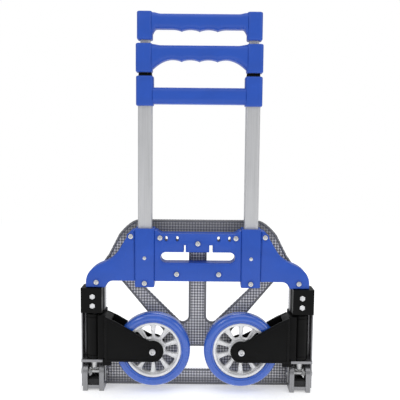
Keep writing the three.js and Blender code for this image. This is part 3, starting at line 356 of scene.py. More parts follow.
def softened(name, node, coat, body, slot, edge, sharp=38):
    """A merged copy of a CAD node, flat areas rejoined, whose edges get a small bevel."""
    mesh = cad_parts[node].data.copy()
    mesh.name = name
    mesh.materials.clear()
    work = bmesh.new()
    work.from_mesh(mesh)
    bmesh.ops.remove_doubles(work, verts=work.verts, dist=2e-6)
    bmesh.ops.dissolve_limit(
        work, angle_limit=math.radians(1), verts=work.verts, edges=work.edges, use_dissolve_boundaries=False
    )
    work.to_mesh(mesh)
    work.free()
    shade(mesh, sharp)
    obj = place(name, mesh, coat, body, [node], slot)
    if edge:
        bevel = obj.modifiers.new("Edges", "BEVEL")
        bevel.width = edge * MM
        bevel.segments = 2
        bevel.limit_method = "ANGLE"
        bevel.angle_limit = math.radians(40)
        bevel.use_clamp_overlap = True
        bevel.harden_normals = True


def softened_pair(name, node, *values):
    """Softened copies of a right-hand CAD node and of its left-hand one."""
    for side, _ in SIDES:
        softened(f"{name}_{side}", f"{node}_{side}", *values)


def coat_pair(node, coat):
    """Gives both of a pair of CAD nodes that keep their own shape a new finish."""
    for side, _ in SIDES:
        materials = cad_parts[f"{node}_{side}"].data.materials
        materials.clear()
        materials.append(finish(coat))


# ------------------------ finishes


class Finish:
    """A material being put together: shorthands for the nodes that the finishes share."""

    def __init__(self, name, base, roughness, metallic=0.0, **sockets):
        self.material = bpy.data.materials.new(name)
        self.material.use_nodes = True
        self.tree = self.material.node_tree
        self.shader = self.tree.nodes["Principled BSDF"]
        self.set(self.shader, "Base Color", (*base, 1))
        self.set(self.shader, "Roughness", roughness)
        self.set(self.shader, "Metallic", metallic)
        for socket, value in sockets.items():
            self.set(self.shader, socket.replace("_", " "), value)
        self.where = self.tree.nodes.new("ShaderNodeTexCoord").outputs["Object"]

    def set(self, node, socket, value):
        """Sets a socket's own value, or links it when the value is another node's output."""
        if isinstance(value, bpy.types.NodeSocket):
            self.tree.links.new(value, node.inputs[socket])
        else:
            node.inputs[socket].default_value = value

    def scaled(self, x, y, z):
        """Object coordinates stretched on each axis."""
        node = self.tree.nodes.new("ShaderNodeMapping")
        self.set(node, "Vector", self.where)
        self.set(node, "Scale", (x, y, z))
        return node.outputs["Vector"]

    def noise(self, scale, detail=2.0, vector=None, distortion=0.0):
        """Fractal noise between 0 and 1."""
        node = self.tree.nodes.new("ShaderNodeTexNoise")
        place = vector or self.where
        values = {"Vector": place, "Scale": scale, "Detail": detail, "Distortion": distortion}
        for socket, value in values.items():
            self.set(node, socket, value)
        return node.outputs["Fac"]

    def spread(self, value, low, high, out_low=0.0, out_high=1.0):
        """A value mapped from one range to another, held at both ends."""
        node = self.tree.nodes.new("ShaderNodeMapRange")
        ends = ("Value", "From Min", "From Max", "To Min", "To Max")
        for socket, number in zip(ends, (value, low, high, out_low, out_high)):
            self.set(node, socket, number)
        return node.outputs["Result"]

    def math(self, operation, a, b=0.0):
        """One arithmetic step."""
        node = self.tree.nodes.new("ShaderNodeMath")
        node.operation = operation
        self.set(node, 0, a)
        self.set(node, 1, b)
        return node.outputs["Value"]

    def blend(self, factor, a, b):
        """Colour a where the factor is 0 and colour b where it is 1."""
        node = self.tree.nodes.new("ShaderNodeMix")
        node.data_type = "RGBA"
        self.set(node, 0, factor)
        self.set(node, 6, a if isinstance(a, bpy.types.NodeSocket) else (*a, 1))
        self.set(node, 7, b if isinstance(b, bpy.types.NodeSocket) else (*b, 1))
        return node.outputs[2]

    def bump(self, height, strength, distance, before=None):
        """Surface relief from a height, on top of an earlier relief."""
        node = self.tree.nodes.new("ShaderNodeBump")
        self.set(node, "Height", height)
        self.set(node, "Strength", strength)
        self.set(node, "Distance", distance * MM)
        if before is not None:
            self.set(node, "Normal", before)
        return node.outputs["Normal"]

    def finish(self, colour, roughness=None, normal=None):
        """Plugs the varying colour, roughness and relief into the shader."""
        for socket, value in (("Base Color", colour), ("Roughness", roughness), ("Normal", normal)):
            if value is not None:
                self.set(self.shader, socket, value)
        return self.material


def tint(rgb, factor):
    """A colour made lighter or darker."""
    return tuple(min(1.0, c * factor) for c in rgb)


def moulded_plastic(name, rgb, roughness, grain, specular, coat):
    """Injection-moulded plastic: faint flow marks in the colour, an eroded grain and light scuffs."""
    f = Finish(name, rgb, roughness, Specular_IOR_Level=specular, Coat_Weight=coat, Coat_Roughness=0.18)
    flow = f.noise(14, 3, f.scaled(1, 1, 2.2), 0.6)
    scuffs = f.spread(f.noise(160, 5, f.scaled(1, 1, 0.25), 1.2), 0.62, 0.78)
    base = f.blend(flow, tint(rgb, 0.86), tint(rgb, 1.16))
    base = f.blend(f.math("MULTIPLY", scuffs, 0.16), base, tint(rgb, 1.9))
    uneven = f.spread(f.noise(55, 4), 0.3, 0.7, roughness - 0.06, roughness + 0.08)
    rough = f.math("ADD", uneven, f.math("MULTIPLY", scuffs, 0.15))
    relief = f.bump(f.noise(grain, 2), 0.22, 0.06)
    relief = f.bump(flow, 0.05, 0.6, relief)
    return f.finish(base, rough, relief)


def drawn_metal(name, rgb, roughness, direction, metallic=0.85):
    """Drawn or brushed metal: fine lines along one direction in the colour, gloss and relief."""
    f = Finish(name, rgb, roughness, metallic)
    stretch = [900, 900, 900]  # fine across the lines
    stretch[direction] = 7  # and drawn out along them
    lines = f.noise(1.0, 3, f.scaled(*stretch))
    clouds = f.noise(22, 4)
    base = f.blend(f.spread(lines, 0.25, 0.75), tint(rgb, 0.88), tint(rgb, 1.1))
    base = f.blend(f.spread(clouds, 0.52, 0.8, 0.0, 0.35), base, tint(rgb, 0.78))
    rough = f.spread(lines, 0.2, 0.8, roughness - 0.07, roughness + 0.09)
    return f.finish(base, rough, f.bump(lines, 0.12, 0.05))


def zinc_plate(name, rgb, roughness):
    """Zinc plating: small bright and dull crystals, darker where handled."""
    f = Finish(name, rgb, roughness, 0.95)
    crystals = f.noise(900, 3)
    stains = f.noise(140, 4)
    base = f.blend(f.spread(crystals, 0.35, 0.65), tint(rgb, 0.84), tint(rgb, 1.08))
    base = f.blend(f.spread(stains, 0.55, 0.75, 0.0, 0.4), base, tint(rgb, 0.6))
    rough = f.spread(stains, 0.3, 0.7, roughness, roughness + 0.16)
    return f.finish(base, rough, f.bump(crystals, 0.15, 0.03))


def diamond_sheet(name, light, dark, pitch):
    """Sheet pressed with small diamonds: it stands proud where cos(2 pi z / pitch) is more than
    cos(2 pi x / pitch). Darker along the top band and the foot with painted shade, and dusty in patches."""
    f = Finish(name, light, 0.42, 0.3)
    axes = f.tree.nodes.new("ShaderNodeSeparateXYZ")
    f.set(axes, 0, f.where)
    x, z = axes.outputs["X"], axes.outputs["Z"]
    waves = [f.math("COSINE", f.math("MULTIPLY", side, 2 * math.pi / pitch)) for side in (z, x)]
    proud = f.spread(f.math("SUBTRACT", *waves), -0.3, 0.5)
    dust = f.noise(30, 4)
    base = f.blend(proud, dark, light)
    base = f.blend(f.spread(dust, 0.45, 0.8, 0.0, 0.35), base, tint(light, 0.72))
    top = PLATE_HIGH[2] * MM
    # painted shade: the plate's top band darkened from 40 to 26 mm below its top edge
    base = f.blend(f.spread(z, top - 0.040, top - 0.026, 0.0, 0.62), base, tint(dark, 0.62))
    # painted shade: the foot darkened low down, from 17 mm towards 12 mm above the floor
    base = f.blend(f.spread(z, 0.017, 0.012, 0.0, 0.62), base, tint(dark, 0.7))
    rough = f.spread(proud, 0, 1, 0.6, 0.36)
    return f.finish(base, rough, f.bump(proud, 0.7, 0.5))


def gloss_tread(name, rgb):
    """Cast polyurethane: deep gloss, a little light inside it, faint running marks."""
    inside = {"Subsurface_Weight": 0.06, "Subsurface_Scale": 0.004}
    f = Finish(name, rgb, 0.24, Coat_Weight=0.9, Coat_Roughness=0.05, **inside)
    cloud = f.noise(26, 3, None, 0.8)
    marks = f.spread(f.noise(220, 5), 0.6, 0.78)
    base = f.blend(cloud, tint(rgb, 0.84), tint(rgb, 1.14))
    base = f.blend(f.math("MULTIPLY", marks, 0.12), base, tint(rgb, 0.5))
    rough = f.math("ADD", f.spread(cloud, 0.3, 0.7, 0.19, 0.28), f.math("MULTIPLY", marks, 0.2))
    return f.finish(base, rough, f.bump(f.noise(420, 2), 0.08, 0.05))


def lacquer(name, rgb):
    """Silver lacquer: fine metallic flake under a clear coat, dustier in the corners."""
    f = Finish(name, rgb, 0.3, 0.3, Coat_Weight=0.4, Coat_Roughness=0.12)
    flake = f.noise(2600, 1)
    dust = f.noise(60, 4)
    base = f.blend(f.spread(flake, 0.3, 0.7), tint(rgb, 0.9), tint(rgb, 1.1))
    base = f.blend(f.spread(dust, 0.52, 0.8, 0.0, 0.3), base, tint(rgb, 0.7))
    return f.finish(base, f.spread(dust, 0.3, 0.7, 0.24, 0.38), f.bump(flake, 0.06, 0.02))


def black_rubber(name):
    """Matte rubber with a fine pitted surface and a grey bloom."""
    rgb = (0.014, 0.014, 0.015)
    f = Finish(name, rgb, 0.8)
    pits = f.noise(700, 3)
    bloom = f.noise(45, 4)
    base = f.blend(f.spread(bloom, 0.45, 0.8, 0.0, 0.6), rgb, (0.05, 0.05, 0.052))
    return f.finish(base, f.spread(bloom, 0.3, 0.7, 0.72, 0.9), f.bump(pits, 0.35, 0.15))


def finish(name):
    """The named finish, made the first time it is asked for."""
    if name in bpy.data.materials:
        return bpy.data.materials[name]
    c, s = bpy.context.scene.truck_colours, bpy.context.scene.truck_sizes
    recipes = {
        "bar_plastic": (moulded_plastic, c.blue_plastic, 0.36, 1500, 0.3, 0.08),
        "sleeve_plastic": (moulded_plastic, c.black_plastic, 0.45, 1100, 0.12, 0.0),
        "column_metal": (drawn_metal, c.anodised, 0.40, 2, 0.6),
        "sheet_metal": (drawn_metal, c.sheet, 0.36, 2),
        # painted shade: the sheet colour darkened for the toe plate's pressed edges, which fall in shade
        "edge_metal": (drawn_metal, tint(c.sheet, 0.62), 0.42, 0, 0.5),
        "gear_metal": (drawn_metal, (0.62, 0.62, 0.62), 0.34, 0, 0.7),
        "spring_metal": (drawn_metal, (0.58, 0.58, 0.59), 0.24, 2, 0.95),
        "zinc_screw": (zinc_plate, (0.70, 0.70, 0.71), 0.26),
        "diamond_plate": (diamond_sheet, c.mesh_light, c.mesh_dark, s.mesh_pitch),
        "tread": (gloss_tread, c.tyre_blue),
        "rim_lacquer": (lacquer, c.rim_silver),
        "stop_rubber": (black_rubber,),
    }
    maker, *values = recipes[name]
    return maker(name, *values)


# ------------------------ columns and bars


def ring(cx, width, depth, radius, z, steps=6):
    """A rounded rectangle about the columns' plane, at one height."""
    return along(block(cx, COLUMN_Y, width, depth, radius, steps), z, "z")


def hollow_post(cx, width, depth, radius, low, high, edge, socket):
    """An upright sleeve: rounded rectangles carried up the outside, over the rounded rim, and down
    the inside through the socket's steps of (width, depth, radius, height). A socket that ends
    below the top is closed by a flat face."""
    a = np.radians(np.linspace(0, 90, 4))
    inset, rise = edge * (1 - np.sin(a)), edge * (1 - np.cos(a))
    heights = np.concatenate([low + rise, high - rise[::-1]])
    rows = [
        ring(cx, width - 2 * d, depth - 2 * d, radius - d, z)
        for d, z in zip(np.concatenate([inset, inset[::-1]]), heights)
    ]
    inside = [ring(COLUMN_X, *step) for step in socket]
    if socket[0][3] >= high:
        return loft(rows + inside, wrap=True)
    return loft(rows[::-1] + inside[::-1])


def crossbar(half_length, half_depth, bottom, top, power=3.2, rows=181, steps=40):
    """A hand grip along x. At each x its section is a superellipse between the heights bottom(x) and
    top(x): y = d |cos t|^(2/p) and z = middle + h |sin t|^(2/p), with the signs of cos and sin."""
    x = np.linspace(-half_length, half_length, rows)
    t = np.linspace(0, 2 * np.pi, steps, endpoint=False)
    low, high = bottom(x), top(x)
    wide = np.sign(np.cos(t)) * np.abs(np.cos(t)) ** (2 / power)
    tall = np.sign(np.sin(t)) * np.abs(np.sin(t)) ** (2 / power)
    y = COLUMN_Y + half_depth * wide[None] * np.ones_like(x)[:, None]
    z = ((low + high) / 2)[:, None] + ((high - low) / 2)[:, None] * tall[None]
    return loft(np.stack([np.broadcast_to(x[:, None], y.shape), y, z], -1))


def hollows(x, pitch, depth):
    """Finger hollows: depth |sin(pi x / pitch)|^0.7 out to one and a half pitches, then level."""
    wave = np.abs(np.sin(np.pi * x / pitch)) ** 0.7
    return depth * np.where(np.abs(x) < 1.5 * pitch, wave, 1.0)


def end_drop(x, inner, across, down):
    """How far the underside has dropped beside a sleeve: down times the square of the way through
    the last stretch."""
    return down * np.clip((np.abs(x) - inner + across) / across, 0, 1) ** 2


FINGER_PITCH = 30.0
SLEEVE_CORNER = 5.5
SOCKET_CORNER, NECK_CORNER = 4.2, 3.4  # round the tube that ends in a sleeve, and one passing through
OPEN_TOP = 10  # a tube that ends this close to its sleeve's top is left uncovered
OVERRUN = 1.2  # of a crossbar into its sleeves
CROWN_RUN = 14  # over which a crossbar's top rises to its sleeves

# What each bar rides on, the tube its sleeves hold and the tube that passes through them, the
# sleeve's wall inboard of its tube, then the crossbar: how far its top and its finger tips lie
# below the sleeve's top, the width and height of its end curves, and 1 with finger hollows or 0.
BARS = {
    "grip_bar": ("grip_stage", "grip_tube_right", None, 3.6, (3.0, 31.4, 7.0, 9.0, 1.0)),
    "mid_bar": ("mid_stage", "mid_tube_right", "grip_tube_right", 1.9, (2.5, 29.3, 34.0, 16.5, 1.0)),
    "lower_bar": ("frame", "outer_tube_right", None, 2.0, (18.5, 46.5, 1.0, 0.0, 0.0)),
}


def bar(node, body, tube_node, passing_node, wall, beam):
    """A bar's two sleeves with their sockets, and the crossbar between them."""
    size = bpy.context.scene.truck_sizes
    low, high = span(node)
    tube_low, tube_high = span(tube_node)
    outer, inner = high[0], tube_low[0] - wall
    depth = high[1] - low[1]
    fit = tube_high - tube_low + 2 * FIT
    open_top = passing_node is None and tube_high[2] > high[2] - OPEN_TOP
    socket_top = high[2] if open_top else tube_high[2] + FIT
    socket = [(fit[0], fit[1], SOCKET_CORNER, z) for z in (socket_top, low[2])]
    if passing_node is not None:
        neck = np.ptp(span(passing_node), axis=0) + 2 * RUNNING
        socket = [(neck[0], neck[1], NECK_CORNER, z) for z in (high[2], socket_top)] + socket
    middle, width = (outer + inner) / 2, outer - inner
    post = hollow_post(middle, width, depth, SLEEVE_CORNER, low[2], high[2], size.bar_edge / MM, socket)
    crown, tips, across, down, grooves = beam
    crown, tips = high[2] - crown, high[2] - tips
    groove_depth = size.finger_depth / MM * grooves

    def bottom(x):
        return tips + hollows(x, FINGER_PITCH, groove_depth) - end_drop(x, inner, across, down)

    def top(x):
        rise = high[2] - 0.6 - crown
        return crown + rise * smooth(np.abs(x), inner - CROWN_RUN, inner) * grooves

    grip = crossbar(inner + OVERRUN, depth / 2 - 0.5, bottom, top)
    parts = [post, mirror_x(post), grip]
    piece(f"{node}_moulding", parts, "bar_plastic", body, [node], "blue_plastic", 44)


class TruckPiece:
    """What the operators share: undo, and a place in the panel."""

    bl_options = {"REGISTER", "UNDO"}


class HANDTRUCK_OT_columns(TruckPiece, bpy.types.Operator):
    """Three tubes on each side, one inside another, with their lock holes"""

    bl_idname = "handtruck.columns"
    bl_label = "Column tubes"

    def execute(self, context):
        for tube, body in (("outer_tube", "frame"), ("mid_tube", "mid_stage"), ("grip_tube", "grip_stage")):
            softened_pair(f"drawn_{tube}", tube, "column_metal", body, "tube_aluminium", 0, 60)
        coat_pair("mid_lock_button", "spring_metal")
        coat_pair("grip_lock_button", "spring_metal")
        return {"FINISHED"}


class HANDTRUCK_OT_bars(TruckPiece, bpy.types.Operator):
    """Grip, middle and lower bar with their sleeves on the columns"""

    bl_idname = "handtruck.bars"
    bl_label = "Cross bars"

    def execute(self, context):
        for node, values in BARS.items():
            bar(node, *values)
        return {"FINISHED"}


class HANDTRUCK_OT_collars(TruckPiece, bpy.types.Operator):
    """Black guide collars at the mouths of the outer tubes"""

    bl_idname = "handtruck.collars"
    bl_label = "Guide collars"

    def execute(self, context):
        low, high = span("guide_collar_right")
        bore = np.ptp(span("mid_tube_right"), axis=0) + 2 * FIT
        wide = high - low
        shelf = span("lower_bar")[1][2] - FIT
        outside = [(0.6, 3.8, low[2]), (0, 4, low[2] + 0.4), (0, 4, shelf - 0.4), (0.8, 3.8, shelf)]
        outside += [(1.6, 3.6, shelf), (1.6, 3.6, high[2] - 2.2), (2.4, 3.4, high[2] - 1.6)]
        outside += [(1.6, 3.6, high[2] - 1.0), (2.2, 3.4, high[2])]
        inside = [(-0.6, 3.6, high[2]), (0, 3.4, high[2] - 0.4), (0, 3.4, low[2])]
        rows = [
            ring(COLUMN_X, size[0] - less, size[1] - less, corner, z)
            for size, steps in ((wide, outside), (bore, inside))
            for less, corner, z in steps
        ]
        collar = loft(rows, wrap=True)
        pair("guide_ring", [collar], "sleeve_plastic", "frame", "guide_collar", "black_plastic")
        return {"FINISHED"}


# ------------------------ chassis

HOUSING_HALF = 16.5
SHELL_DEPTH, HOUSING_DEPTH = 14.0, 16.5  # of the shells' and the housings' faces from the columns' plane
SEAM, SEAM_EDGE = 0.15, 0.3  # half the gap between the two shells, and their rounding along it
CHASSIS_LOW, CHASSIS_TOP = SHELL_HIGH[2] - 90.0, SHELL_HIGH[2] - 8.0
SHOULDER_TOP = SHELL_HIGH[2] - 2.5
HOUSING_FOOT = SHELL_HIGH[2] - 100
SLOT_Z, SLOT_HALF, SLOT_RADIUS = CHASSIS_LOW + 41.0, 54.0, 9.0
SLITS = ((19.5, 25.1), (-23.8, -20.6))  # the sides of each, rising from the slot
SLIT_HEIGHT = 12
HOOK_HOLES = (-53.5, -35.0, 35.0, 53.5)
HOOK_HOLE, HOOK_HOLE_DROP = (4.6, 8.5, 2.2), 9  # width, height and corner; below the crossbar's top


def centre_outline():
    """The crossbar between the two column housings, its top rising to the shoulders."""
    end = COLUMN_X - HOUSING_HALF + FIT
    half = tidy([
        [(0, CHASSIS_LOW), (end, CHASSIS_LOW), (end, SHOULDER_TOP)],
        curve((end - 4.3, SHOULDER_TOP), (end - 9.3, CHASSIS_TOP), (end - 14.3, CHASSIS_TOP)),
        [(0, CHASSIS_TOP)],
    ])
    return mirrored(half)


def wing_outline():
    """An arm from its column housing: shoulder, long slope, and the rounded end over the corner."""
    start = COLUMN_X + HOUSING_HALF - FIT
    shoulder = COLUMN_X + HOUSING_HALF + 6.5
    top, foot = SHOULDER_TOP, CORNER_TOP + FIT
    outer, inner = PIVOT_X + 12, PIVOT_X - 21
    return tidy([
        [(start, CHASSIS_LOW)],
        curve((inner - 14, CHASSIS_LOW), (inner - 4, CHASSIS_LOW), (inner, foot)),
        [(outer, foot)],
        curve((outer, CHASSIS_LOW - 2), (outer - 1, top - 69), (PIVOT_X - 12, top - 59), 12),
        curve((PIVOT_X - 23, top - 54.5), (shoulder + 29, top - 48), (shoulder + 21, top - 35), 10),
        curve((shoulder + 3, top - 5), (shoulder, top), (shoulder - 5, top), 6),
        [(start, top)],
    ])


def slot_outline():
    """The long slot with the two slits that rise from it."""
    top = SLOT_Z + SLOT_RADIUS
    peak = top + SLIT_HEIGHT
    slits = [[(high, top), (high, peak), (low, peak), (low, top)] for low, high in SLITS]
    ends = [arc(x, SLOT_Z, SLOT_RADIUS, a, a + 180, 16) for x, a in ((SLOT_HALF, -90), (-SLOT_HALF, 90))]
    return tidy([ends[0], *slits, ends[1]])


def chassis_shell(side):
    """Half the chassis, side -1 towards the wheels and +1 towards the load: the crossbar, two arms
    and two proud housings, each half wrapped round its tube."""
    size = bpy.context.scene.truck_sizes
    edge = size.chassis_edge / MM
    seam, face = COLUMN_Y + side * SEAM, COLUMN_Y + side * SHELL_DEPTH
    edges = (edge, SEAM_EDGE) if side < 0 else (SEAM_EDGE, edge)
    slab = (min(seam, face), max(seam, face), *edges, "y", 4)
    hooks = [block(x, CHASSIS_TOP - HOOK_HOLE_DROP, *HOOK_HOLE) for x in HOOK_HOLES]
    wing = moulding(wing_outline(), [], *slab)
    parts = [moulding(centre_outline(), [slot_outline()] + hooks, *slab), wing, mirror_x(wing)]
    parts.append(bead(slot_outline(), -2.6, 2.2, face - side * 0.1, side * size.slot_lip / MM))

    tube = TUBE_HIGH - TUBE_LOW + 2 * FIT
    left, right = COLUMN_X - HOUSING_HALF, COLUMN_X + HOUSING_HALF
    bore, wall = tube[0] / 2, COLUMN_Y + side * tube[1] / 2
    proud = seam + side * (HOUSING_DEPTH - SEAM)
    curved = proud - side * 4
    section = tidy([
        [(left, seam)],
        curve((left, curved), (left, proud), (left + 4, proud), 5),
        curve((right - 4, proud), (right, proud), (right, curved), 5),
        [(right, seam), (COLUMN_X + bore, seam), (COLUMN_X + bore, wall)],
        [(COLUMN_X - bore, wall), (COLUMN_X - bore, seam)],
    ])
    foot = block(COLUMN_X, (seam + COLUMN_Y + side * 11) / 2, 2 * HOUSING_HALF - 3, 10.6, 1.0)
    housing = moulding(section, [], HOUSING_FOOT, SHELL_HIGH[2], 1.2, 1.2, "z")
    plug = moulding(foot, [], HOUSING_FOOT + 0.4, TUBE_LOW[2] - 0.4, 0.6, 0.3, "z")
    return parts + [housing, mirror_x(housing), plug, mirror_x(plug)]


SCREW_RADIUS, SCREW_HEAD_RADIUS, SCREW_HEAD_HEIGHT = 2.0, 4.2, 2.4
BOLT_RADIUS, BOLT_HEAD_RADIUS = 2.5, 4.9
NUT_BORE_LIMIT = 5  # a nut's profile points nearer than this belong to its bore


def boss_ring(x, z, base, rise, inner=4.9, outer=6.6):
    """A low moulded ring round a screw head."""
    root, top = base + 0.6, base - rise
    profile = [(inner, root), (inner, base - rise * 0.7), (inner + 0.4, top), (outer - 0.5, top)]
    profile += [(outer, base - rise * 0.4), (outer, root), (inner, root)]
    return lathe(profile, "y", x, z, 32)


def screw_places():
    """(name, x, z, lowest corner, highest corner) of each chassis screw, from the CAD nodes."""
    found = []
    for name in sorted(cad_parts):
        if name.startswith("chassis_screw_"):
            low, high = span(name)
            found.append((name, (low[0] + high[0]) / 2, (low[2] + high[2]) / 2, low, high))
    return found


class HANDTRUCK_OT_chassis(TruckPiece, bpy.types.Operator):
    """Two-shell chassis with its arms, column housings, slot and slits"""

    bl_idname = "handtruck.chassis"
    bl_label = "Chassis shells"

    def execute(self, context):
        rings = [boss_ring(x, z, low[1] + SCREW_HEAD_HEIGHT, 0.8) for _, x, z, low, _ in screw_places()]
        for name, side, extra in (("back", -1, rings), ("front", 1, [])):
            parts, node = chassis_shell(side) + extra, f"chassis_shell_{name}"
            piece(f"chassis_{name}", parts, "bar_plastic", "frame", [node], "blue_plastic", 40)
        return {"FINISHED"}


# ------------------------ screws and bolts


def driven_head(x, z, face, radius, height, shank, end, recess):
    """A screw along +Y on a polar grid: the head's dome is height (1 - 0.35 (r / R)^2), sunk by the
    drive recess near its middle; then its side, its underside and the shank down to its end."""
    t = np.linspace(0, 2 * np.pi, 48, endpoint=False)
    r = np.linspace(0, 1, 15)[:, None] * radius * 0.96 * np.ones_like(t)
    dome = face - height * (1 - 0.35 * (r / radius) ** 2) + recess(r, t[None])
    tail = [(radius, face - height * 0.5), (radius, face), (shank, face), (shank, end - 1)]
    tail = np.array(tail + [(shank * 0.5, end), (0, end)])[:, :, None] * np.ones_like(t)
    r, y = np.concatenate([r, tail[:, 0]]), np.concatenate([dome, tail[:, 1]])
    return loft(np.stack([x + r * np.cos(t), y, z + r * np.sin(t)], -1))


def nut_sides(profile, t):
    """Radius factor of a nut: a hexagon outside, round in the bore."""
    return np.where(profile[:, :1] > NUT_BORE_LIMIT, hexagon(profile, t), 1.0)


def cross_recess(size, depth):
    """A cross-shaped recess, turned a little: depth where one of |x|, |z| is small and the other
    within size."""

    def sunk(r, t):
        a, b = np.abs(r * np.cos(t + 0.4)), np.abs(r * np.sin(t + 0.4))
        narrow = 1 - smooth(np.minimum(a, b), size * 0.16, size * 0.30)
        return depth * narrow * (1 - smooth(np.maximum(a, b), size * 0.8, size))

    return sunk


def hex_recess(size, depth):
    """A hexagonal recess whose corners lie size from its middle."""

    def sunk(r, t):
        edge = size * hexagon(None, t)[0]
        return depth * (1 - smooth(r, edge * 0.8, edge))

    return sunk


class HANDTRUCK_OT_screws(TruckPiece, bpy.types.Operator):
    """Chassis screws and the hexagon bolts of the corner sleeves"""

    bl_idname = "handtruck.screws"
    bl_label = "Screws and bolts"

    def execute(self, context):
        coat, slot = "zinc_screw", "zinc_fastener"
        for node, x, z, low, high in screw_places():
            face = low[1] + SCREW_HEAD_HEIGHT
            sizes = SCREW_HEAD_RADIUS, SCREW_HEAD_HEIGHT, SCREW_RADIUS, high[1]
            screw = driven_head(x, z, face, *sizes, cross_recess(2.7, 1.3))
            piece(node.replace("chassis_screw", "cross_screw"), [screw], coat, "frame", [node], slot, 50)
        face = SHELL_LOW[1]
        dome = [(0, face - 0.9), (1.9, face - 0.8), (3.0, face - 0.3), (3.2, face + 0.6), (0, face + 0.6)]
        rivet = lathe(dome, "y", COLUMN_X, SLOT_Z - 1, 24)
        piece("column_rivets", [rivet, mirror_x(rivet)], coat, "frame", (), slot, 30)
        for level in ("lower", "upper"):
            low, high = span(f"sleeve_bolt_{level}_right")
            face, z = low[1] + SCREW_HEAD_HEIGHT, (low[2] + high[2]) / 2
            head = [(0, low[1]), (3.6, low[1]), (BOLT_HEAD_RADIUS, low[1] + 0.9), (BOLT_HEAD_RADIUS, face)]
            head += [(BOLT_RADIUS, face), (0, face)]
            shank = [(0, face - 0.5), (BOLT_RADIUS, face - 0.5), (BOLT_RADIUS, high[1]), (0, high[1])]
            parts = [lathe(head, "y", PIVOT_X, z, 48, hexagon), lathe(shank, "y", PIVOT_X, z, 24)]
            pair(f"hex_bolt_{level}", parts, coat, "frame", f"sleeve_bolt_{level}", slot, 35)
        return {"FINISHED"}


# ------------------------ corners


class HANDTRUCK_OT_corners(TruckPiece, bpy.types.Operator):
    """Corner sleeves, bent channels and the bushes under the forks"""

    bl_idname = "handtruck.corners"
    bl_label = "Corner sleeves and channels"

    def execute(self, context):
        softened_pair("corner_block", "corner_sleeve", "sleeve_plastic", "frame", "black_plastic", 1.1)
        softened_pair("bent_channel", "corner_channel", "sheet_metal", "frame", "channel_aluminium", 0.35)
        coat_pair("swing_bush", "sleeve_plastic")
        return {"FINISHED"}


# ------------------------ forks and wheels

ARM_THICKNESS = 5.0
HUB_END = 18.5
AXLE_RADIUS, AXLE_HEAD_RADIUS = 4.0, 5.4
ARM_HEEL = PIVOT_X - 22.0
WEB_INNER = PIVOT_X - 33.0
WEB_SETBACK = 10.5
BARREL_RADIUS, BARREL_BORE = 13.8, 5.9
FORK_TOP, FORK_FOOT = FORK_LOW[2] + 87.0, AXLE_Z - HUB_END


def arm_outline():
    """A fork arm: round end on the axle, rising edge to the web, straight foot."""
    top, heel = FORK_TOP, ARM_HEEL
    return tidy([
        [(heel, FORK_FOOT)],
        curve((heel, top - 1), (heel, top), (heel - 2, top - 0.8), 3),
        curve((heel - 12, top - 5.6), (heel - 15, top - 6.8), (heel - 18, top - 8.4), 3),
        curve((AXLE_X + 31, top - 27), (AXLE_X + 18, AXLE_Z + 24), (AXLE_X + 5, AXLE_Z + HUB_END - 0.7), 8),
        arc(AXLE_X, AXLE_Z, HUB_END, 76, 270, 30),
    ])


def fork_parts():
    """Right-hand fork: two arms with an edge rib and a hub ring, the web block and its heel, the
    swing barrel with its bore, and the stop lug."""
    size = bpy.context.scene.truck_sizes
    edge, rib = size.fork_edge / MM, size.rib_height / MM
    front, back = FORK_LOW[1], FORK_HIGH[1]
    top, foot = FORK_TOP, FORK_FOOT
    outline = arm_outline()
    axle = arc(AXLE_X, AXLE_Z, 4.3, 0, 345, 23)
    ring_profile = [(6.6, 1.2), (6.6, 0.2), (7.1, 0), (9.2, 0), (9.8, 0.4), (9.8, 1.2), (6.6, 1.2)]
    web = [(WEB_INNER, foot + 0.4), (PIVOT_X - 9, foot + 0.4), (PIVOT_X - 9, top - 0.4)]
    web += [(ARM_HEEL, top - 0.4), (WEB_INNER, top - 5.6)]
    inside = ARM_HEEL - 0.6
    heel = [(WEB_INNER, foot + 0.4), (inside, foot + 0.4), (inside, top - 0.6), (WEB_INNER, top - 5.8)]
    skin, groove = BARREL_RADIUS, BARREL_RADIUS - 0.6
    barrel = [(BARREL_BORE, foot), (skin - 0.9, foot), (skin, foot + 0.9)]
    barrel += [(skin, foot + 5), (groove, foot + 5.6), (skin, foot + 6.2)]
    barrel += [(skin, top - 6.2), (groove, top - 5.6), (skin, top - 5)]
    barrel += [(skin, top - 0.9), (skin - 0.9, top), (BARREL_BORE, top), (BARREL_BORE, foot)]
    lug = block(PIVOT_X - 24.5, front + 12, 15, 8, 1.6)
    return [
        moulding(outline, [axle], front + 0.7, front + ARM_THICKNESS, edge, 0.5),
        moulding(outline, [axle], back - ARM_THICKNESS, back, 0.5, edge),
        bead(outline, 2.0, 2.6, front + 0.8, -rib - 0.1),
        lathe([(r, front + h) for r, h in ring_profile], "y", AXLE_X, AXLE_Z, 48),
        moulding(rounded(web, 1.5, 3), [], front + WEB_SETBACK, back - 0.8, 1.4, 1.4),
        moulding(rounded(heel, 1.0, 3), [], front + 1.6, back - 1.6, 1.0, 1.0),
        lathe(barrel, "z", PIVOT_X, COLUMN_Y, 64),
        moulding(lug, [], FORK_LOW[2], foot + 2, 1.0, 0.2, "z"),
    ]


